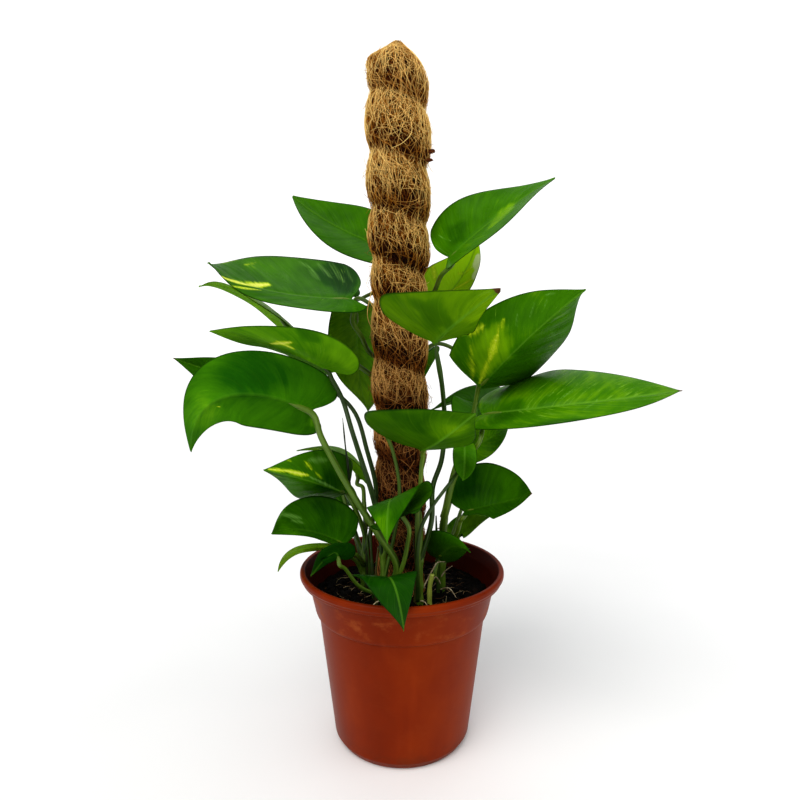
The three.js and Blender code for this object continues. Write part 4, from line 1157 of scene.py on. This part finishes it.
def make_coir_fibres(material, rng):
    for number in range(FIBRE_PIECES):
        paths, tones = coir_paths(rng, PIECE_FIBRES, FIBRE_POINTS)
        thick = rng.uniform(0.1, 0.27, PIECE_FIBRES)[:, None] * np.linspace(1, 0.6, FIBRE_POINTS)[None, :]
        form = Form()
        form.add(*thin_tubes(paths, thick), tone=np.repeat(tones.ravel(), 3))
        form.piece(f"coir_fibres_{number + 1}", [material])
    form = Form()
    taper = np.linspace(0.3, 0.18, THREAD_POINTS)[None]
    for path in THREADS:
        form.add(*thin_tubes(smooth_path(path, THREAD_POINTS)[None], taper, THREAD_SIDES), tone=0.95)
    form.piece("coir_loose_threads", [material])
    form = Form()
    for place, size in HUSK_CHIPS:
        form.add(*lump(rng, place, size), tone=float(rng.uniform(0, 0.15)))
    form.piece("coir_husk_chips", [material], smooth=False)


def make_stake(material):
    """The wooden stake inside the wrap is the part's own, with a look of wood."""
    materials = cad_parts["pole_stake"].data.materials
    materials.clear()
    materials.append(material)


def lathe(profile, sides):
    """Points and faces of a profile of radius and height turned about Z; its ends are on the axis."""
    profile = np.asarray(profile, float)
    turn = np.linspace(0, 2 * math.pi, sides, endpoint=False)
    inner = profile[1:-1]
    ring = np.stack([np.cos(turn), np.sin(turn)], axis=-1)
    heights = np.repeat(inner[:, None, 1:], sides, 1)
    points = np.concatenate([inner[:, None, :1] * ring[None], heights], axis=-1).reshape(-1, 3)
    points = np.vstack([points, [[0, 0, profile[0, 1]], [0, 0, profile[-1, 1]]]])
    first, last = len(points) - 2, len(points) - 1
    n = len(inner)
    faces = []
    for j in range(sides):
        k = (j + 1) % sides
        faces.append((first, j, k))
        faces.append((last, (n - 1) * sides + k, (n - 1) * sides + j))
        for i in range(n - 1):
            faces.append((i * sides + j, (i + 1) * sides + j, (i + 1) * sides + k, i * sides + k))
    return points, [face[::-1] for face in faces]


def rounded(profile, radius, steps=4):
    """The profile with each inner corner rounded by up to the radius."""
    p = np.asarray(profile, float)
    out = [p[0]]
    for a, b, c in zip(p, p[1:], p[2:]):
        cut = min(radius, 0.4 * np.linalg.norm(b - a), 0.4 * np.linalg.norm(c - b))
        start, end = b + unit(a - b) * cut, b + unit(c - b) * cut
        for t in np.linspace(0, 1, steps):
            out.append((1 - t) ** 2 * start + 2 * t * (1 - t) * b + t**2 * end)
    return np.array(out + [p[-1]])


def pot_profile():
    lip_foot = POT_HEIGHT - LIP_HEIGHT
    channel = FOOT_RADIUS - FOOT_RING_WIDTH
    floor_top = FLOOR_LIFT + FLOOR_THICKNESS
    return [
        (0, 0),
        (BASE_DISC_RADIUS, 0),
        (BASE_DISC_RADIUS + 2, FLOOR_LIFT),
        (channel - 1.5, FLOOR_LIFT),
        (channel, 0),
        (FOOT_RADIUS, 0),
        (BODY_FOOT_RADIUS, FOOT_BEVEL_HEIGHT),
        (BODY_TOP_RADIUS, COLLAR_FOOT_HEIGHT - 1),
        (COLLAR_FOOT_RADIUS - 1, COLLAR_FOOT_HEIGHT),
        (COLLAR_FOOT_RADIUS, COLLAR_FOOT_HEIGHT + 2.5),
        (COLLAR_TOP_RADIUS, lip_foot),
        (LIP_RADIUS - 2, lip_foot + 0.6),
        (LIP_RADIUS - 1.2, lip_foot + 3.2),
        (LIP_RADIUS, lip_foot + 4.4),
        (LIP_RADIUS, POT_HEIGHT - 1.6),
        (LIP_RADIUS - 1.4, POT_HEIGHT),
        (LIP_RADIUS - 4.2, POT_HEIGHT - 0.6),
        (COLLAR_TOP_RADIUS - WALL, lip_foot - 1),
        (COLLAR_FOOT_RADIUS - WALL, COLLAR_FOOT_HEIGHT + 3.5),
        (BODY_TOP_RADIUS - WALL, COLLAR_FOOT_HEIGHT + 1),
        (BODY_FOOT_RADIUS - WALL, floor_top + 3),
        (BODY_FOOT_RADIUS - WALL - 3, floor_top),
        (0, floor_top),
    ]


def pot_look():
    """Moulded red-brown plastic, a little worn and dusty, with painted shade inside."""
    look = Look("terracotta_plastic")
    place = look.place()
    height = look.part(place, 2)
    cloud = look.noise(look.stretched(place, (1, 1, 0.6)), 16, 4)
    flow = look.noise(look.stretched(place, (1, 1, 0.12)), 60, 3)
    colour = look.ramp(cloud, (0.25, 108, 32, 0), (0.5, 124, 40, 0), (0.75, 140, 52, 2))
    colour = look.mix(look.between(flow, 0.55, 0.8, 0, 0.3), colour, rgba(148, 58, 14))
    # Pale rubbed smudges on the collar, where the pot is handled.
    smudge = look.noise(look.stretched(place, (1, 1, 1.6)), 55, 5, 0.7)
    band = look.times(look.between(height, 0.106, 0.114), look.between(height, 0.142, 0.128))
    rubbed = look.times(look.between(smudge, 0.5, 0.72), look.maths("MULTIPLY_ADD", band, 0.5, 0.06))
    colour = look.mix(rubbed, colour, rgba(160, 84, 40))
    # Inside of a line that follows the middle of the collar's wall and the lip, the pot is darker:
    #     # painted shade inside the pot.
    across, deep = look.part(place, 0), look.part(place, 1)
    radius = look.maths("SQRT", look.maths("MULTIPLY_ADD", across, across, look.times(deep, deep)))
    line = look.maths("MULTIPLY_ADD", look.maths("SUBTRACT", height, 0.109), 0.2037, 0.0715)
    over_lip = look.maths("MAXIMUM", look.maths("SUBTRACT", height, 0.135), 0.0)
    line = look.maths("MULTIPLY_ADD", over_lip, 0.26, line)
    inside = look.between(look.maths("SUBTRACT", radius, line), 0.0003, -0.0003)
    inside = look.times(inside, look.between(height, 0.1095, 0.1105))
    colour = look.mix(look.times(inside, 0.75), colour, rgba(56, 8, 2))
    # Soil dust low on the foot.
    dirt = look.times(look.between(height, 0.022, 0.0), look.between(smudge, 0.4, 0.6))
    colour = look.mix(look.times(dirt, 0.4), colour, rgba(70, 38, 26))
    scratch = look.noise(look.stretched(place, (6, 6, 60)), 22, 3, 0.6, 0.4)
    rough = look.maths("MULTIPLY_ADD", rubbed, 0.3, look.between(cloud, 0.2, 0.8, 0.34, 0.46))
    look.set(Base_Color=colour, Specular_IOR_Level=0.08, Roughness=rough)
    look.bump((look.noise(place, 1400, 2), 0.02), (scratch, 0.03), (flow, 0.12))
    return look.material


def cut_away(obj, form):
    """Cuts the closed shapes in the form out of the object's mesh."""
    mesh = bpy.data.meshes.new("cutter")
    mesh.from_pydata((np.vstack(form.points) * MM).tolist(), [], form.faces)
    tool = bpy.data.objects.new("cutter", mesh)
    bpy.context.scene.collection.objects.link(tool)
    cut = obj.modifiers.new("cut", "BOOLEAN")
    cut.operation, cut.object, cut.solver = "DIFFERENCE", tool, "EXACT"
    bpy.context.view_layer.update()
    done = bpy.data.meshes.new_from_object(obj.evaluated_get(bpy.context.evaluated_depsgraph_get()))
    obj.modifiers.clear()
    obj.data = done
    bpy.data.objects.remove(tool)
    bpy.data.meshes.remove(mesh)


def make_pot(material):
    form = Form()
    form.add(*lathe(rounded(pot_profile(), CORNER_RADIUS), POT_SIDES))
    pot = form.piece("pot_moulding", [material], ["pot"])
    cutter = Form()
    # Notches round the foot.
    half = NOTCH_WIDTH / 2
    arch = [
        (-half, -2), (half, -2), (half - 0.3, NOTCH_HEIGHT - 1), (half - 1.4, NOTCH_HEIGHT),
        (-half + 1.4, NOTCH_HEIGHT), (-half + 0.3, NOTCH_HEIGHT - 1),
    ]
    n = len(arch)
    faces = [(n + j, n + (j + 1) % n, (j + 1) % n, j) for j in range(n)]
    faces += [tuple(range(n)), tuple(range(2 * n - 1, n - 1, -1))]
    reach = FOOT_RING_WIDTH / 2 + 5
    for i in range(FOOT_NOTCHES):
        angle = NOTCH_TURN + i / FOOT_NOTCHES * 2 * math.pi
        out = np.array([math.cos(angle), math.sin(angle), 0])
        side = np.array([-math.sin(angle), math.cos(angle), 0])
        ends = (FOOT_RADIUS - reach, FOOT_RADIUS + reach)
        cutter.add([out * r + side * s + (0, 0, z) for r in ends for s, z in arch], faces)
    # Drain holes through the floor.
    top = FLOOR_LIFT + FLOOR_THICKNESS + 1
    points, faces = lathe([(0, -1), (DRAIN_RADIUS, -1), (DRAIN_RADIUS, top), (0, top)], DRAIN_SIDES)
    for i in range(DRAIN_HOLES):
        angle = i / DRAIN_HOLES * 2 * math.pi
        place = (DRAIN_CIRCLE_RADIUS * math.cos(angle), DRAIN_CIRCLE_RADIUS * math.sin(angle), 0)
        cutter.add(points + place, faces)
    cut_away(pot, cutter)
    pot.data.name = "pot_moulding"
    pot.data.set_sharp_from_angle(angle=math.radians(SHARP_ANGLE))


def soil_look():
    look = Look("potting_soil")
    place = look.place()
    grain = look.noise(place, 380, 5, 0.7)
    patch = look.noise(place, 60, 3)
    colour = look.ramp(grain, (0.3, 4, 2, 1), (0.55, 13, 8, 4), (0.75, 38, 22, 11))
    colour = look.mix(look.between(patch, 0.55, 0.75, 0, 0.5), colour, rgba(62, 36, 24))
    look.set(Base_Color=colour, Roughness=look.between(grain, 0.3, 0.7, 0.7, 0.95), Specular_IOR_Level=0.08)
    look.bump((grain, 1.0))
    return look.material


def soil_height(x, y):
    r = np.hypot(x, y) / BODY_TOP_RADIUS
    lumps = np.sin(x * 0.31 + 1.3) * np.cos(y * 0.27) + 0.6 * np.sin(x * 0.17 - y * 0.41)
    return SOIL_TOP + SOIL_DOME * (1 - r * r) + 0.9 * lumps


def soil_rise(points):
    """The fine crumbled relief of the soil at points of its surface."""
    return 1.1 * wander(points, 5.5, 3) + 0.7 * wander(points, 2.4, 4) + 0.35 * wander(points, 1.1, 5)


def soil_spot(rng, least, rim):
    """A random place on the soil, evenly spread from a least share of its area outwards."""
    r, turn = math.sqrt(rng.uniform(least, 1)) * rim, rng.uniform(0, 2 * math.pi)
    return r * math.cos(turn), r * math.sin(turn)


def make_soil(materials, rng):
    rim = COLLAR_FOOT_RADIUS - WALL - SEAT_GAP + 2
    make_soil_bed(materials[0], rim)
    make_crumbs(materials[1], rng, rim)
    make_soil_fibres(materials[2], rng, rim)


def make_soil_bed(material, rim):
    """The body of the soil, with the holes for the wrap and the stake."""
    gap = SEAT_GAP
    floor_top = FLOOR_LIFT + FLOOR_THICKNESS + gap
    foot = BODY_FOOT_RADIUS - WALL - gap
    coir_hole = BULGES[-1][1] + 1.4
    outside = [
        (0, floor_top), (foot - 3.2, floor_top), (foot - 0.2, floor_top + 3),
        (BODY_TOP_RADIUS - WALL - gap, COLLAR_FOOT_HEIGHT + 1), (rim - 2.1, COLLAR_FOOT_HEIGHT + 3.8),
    ]
    rings = [(r, SOIL_TOP) for r in np.linspace(rim, coir_hole, SOIL_RINGS)]
    bore = [
        (coir_hole, COIR_FOOT - gap), (STAKE_RADIUS + gap, COIR_FOOT - gap),
        (STAKE_RADIUS + gap, STAKE_FOOT - gap), (0, STAKE_FOOT - gap),
    ]
    points, faces = lathe(outside + rings + bore, SOIL_SIDES)
    top = np.abs(points[:, 2] - SOIL_TOP) < 1e-6
    surface = points[top]
    inner = smooth_step(np.hypot(surface[:, 0], surface[:, 1]), rim, rim - 2)
    surface[:, 2] = soil_height(surface[:, 0], surface[:, 1]) + soil_rise(surface) * (0.3 + 0.7 * inner)
    points[top] = surface
    form = Form()
    form.add(points, faces)
    form.piece("soil_bed", [material], ["soil"])


def make_crumbs(material, rng, rim):
    form = Form()
    for _ in range(CRUMBS):
        x, y = soil_spot(rng, 0.09, rim - 2.5)
        size = rng.gamma(2.4, 0.42) + 0.35
        z = float(soil_height(x, y)) + 0.3 * size
        form.add(*lump(rng, (x, y, z), size), tone=float(rng.beta(1.5, 4.5)))
    form.piece("soil_crumb_bits", [material], smooth=False)


def make_soil_fibres(material, rng, rim):
    paths = []
    for _ in range(SOIL_FIBRES):
        x, y = soil_spot(rng, 0.08, rim - 9)
        heading, step = rng.uniform(0, 2 * math.pi), rng.uniform(5, 16) / (SOIL_FIBRE_POINTS - 1)
        bend = rng.normal(0, 0.12)
        row = []
        for s in range(SOIL_FIBRE_POINTS):
            arch = 0.9 + 0.9 * math.sin(0.35 * s) * rng.uniform(0.6, 1.4)
            row.append((x, y, float(soil_height(x, y)) + arch))
            x, y = x + step * math.cos(heading), y + step * math.sin(heading)
            heading += bend
        paths.append(row)
    taper = np.linspace(1, 0.5, SOIL_FIBRE_POINTS)[None, :]
    thick = rng.uniform(0.15, 0.4, SOIL_FIBRES)[:, None] * taper
    tones = rng.uniform(0.1, 0.9, SOIL_FIBRES)
    form = Form()
    form.add(
        *thin_tubes(np.array(paths), thick, SOIL_FIBRE_SIDES),
        tone=np.repeat(tones, SOIL_FIBRE_POINTS * SOIL_FIBRE_SIDES),
    )
    form.piece("soil_fibre_bits", [material])


def lump(rng, place, size):
    """A small angular crumb: a rough ball with three rings of six points between its two ends."""
    points = [(0, 0, 1)]
    for ring, (r, z) in enumerate(((0.75, 0.6), (1.0, 0.0), (0.75, -0.6))):
        for j in range(6):
            turn = (j + 0.5 * ring) / 6 * 2 * math.pi
            points.append((r * math.cos(turn), r * math.sin(turn), z))
    points.append((0, 0, -1))
    points = np.array(points) * rng.uniform(0.65, 1.15, (len(points), 1))
    points = points * [size * rng.uniform(*spread) for spread in ((0.7, 1.5), (0.6, 1.1), (0.4, 0.8))]
    turn = rng.uniform(0, 2 * math.pi)
    c, s = math.cos(turn), math.sin(turn)
    points = points @ np.array([[c, s, 0], [-s, c, 0], [0, 0, 1]]) + place
    faces = []
    for j in range(6):
        k = (j + 1) % 6
        faces.append((0, 1 + j, 1 + k))
        faces.append((19, 13 + k, 13 + j))
        for ring in (0, 1):
            a, b = 1 + 6 * ring, 7 + 6 * ring
            faces.append((a + j, b + j, a + k))
            faces.append((a + k, b + j, b + k))
    return points, faces


def make_stage():
    """A plain pale floor, just below the pot's foot."""
    size, cells = 4.0, 24
    spots = [-size + i * 2 * size / cells for i in range(cells + 1)]
    row = cells + 1
    corners = [j * row + i for j in range(cells) for i in range(cells)]
    mesh = bpy.data.meshes.new("studio_floor")
    points = [(x, y, -0.0004) for y in spots for x in spots]
    mesh.from_pydata(points, [], [(k, k + 1, k + row + 1, k + row) for k in corners])
    floor = bpy.data.objects.new("studio_floor", mesh)
    bpy.context.scene.collection.objects.link(floor)
    look = Look("studio_floor")
    tint = look.noise(look.place(), 3, 2)
    look.set(Base_Color=look.ramp(tint, (0.3, 0.86, 0.86, 0.86), (0.7, 0.9, 0.9, 0.9), screen=False))
    look.set(Roughness=0.9)
    mesh.materials.append(look.material)


def make_light():
    """A white backdrop, bluish fill light that the camera doesn't see, and three soft suns."""
    world = bpy.data.worlds.new("studio")
    bpy.context.scene.world = world
    world.use_nodes = True
    tree = world.node_tree
    tree.nodes.clear()
    out = tree.nodes.new("ShaderNodeOutputWorld")
    path, mix = tree.nodes.new("ShaderNodeLightPath"), tree.nodes.new("ShaderNodeMixShader")
    tree.links.new(path.outputs["Is Camera Ray"], mix.inputs[0])
    for spot, (colour, strength) in enumerate((((0.93, 0.96, 1, 1), 0.35), ((1, 1, 1, 1), 1.0)), 1):
        background = tree.nodes.new("ShaderNodeBackground")
        background.inputs["Color"].default_value = colour
        background.inputs["Strength"].default_value = strength
        tree.links.new(background.outputs[0], mix.inputs[spot])
    tree.links.new(mix.outputs[0], out.inputs["Surface"])
    # Suns, so that the floor is as bright far off as near the pot.
    for name, heading, spread, strength, colour in SUNS:
        data = bpy.data.lights.new(name, "SUN")
        data.angle, data.energy, data.color = math.radians(spread), strength, colour
        lamp = bpy.data.objects.new(name, data)
        lamp.location = heading
        lamp.rotation_euler = Vector(heading).to_track_quat("Z", "Y").to_euler()
        bpy.context.scene.collection.objects.link(lamp)


def make_camera():
    data = bpy.data.cameras.new("camera")
    data.sensor_width, data.lens, data.clip_start = 36, LENS, 0.01
    camera = bpy.data.objects.new("camera", data)
    camera.location = CAMERA_PLACE
    camera.rotation_euler = (math.radians(90 - CAMERA_DIP), 0, 0)
    bpy.context.scene.collection.objects.link(camera)
    bpy.context.scene.camera = camera


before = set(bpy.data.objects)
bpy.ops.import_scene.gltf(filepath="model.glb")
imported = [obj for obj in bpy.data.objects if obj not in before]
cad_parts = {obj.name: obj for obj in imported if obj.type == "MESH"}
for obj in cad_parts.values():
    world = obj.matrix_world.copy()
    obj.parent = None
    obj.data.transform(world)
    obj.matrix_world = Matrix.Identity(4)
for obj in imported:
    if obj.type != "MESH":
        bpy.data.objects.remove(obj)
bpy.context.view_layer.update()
rng = np.random.default_rng(SEED)
make_pot(pot_look())
fibre = coir_look()
make_soil([soil_look(), grainy_look("soil_crumbs"), grainy_look("soil_strands")], rng)
make_stake(grainy_look("stake_wood"))
make_coir_core(grainy_look("coir_core"))
make_coir_fibres(fibre, rng)
stem_materials = [stem_look(), grainy_look("pale_root")]
for vine in STEMS:
    make_vine(vine, stem_materials, rng)
leaf_looks = [blade_look(upper) for upper in (True, False)]
for number, name in enumerate(LEAVES):
    make_leaf(name, number, leaf_looks)
make_stage()
make_light()
make_camera()
bpy.context.scene.view_settings.view_transform = "Standard"
bpy.context.scene.view_settings.look = "Medium High Contrast"

bpy.context.view_layer.update()
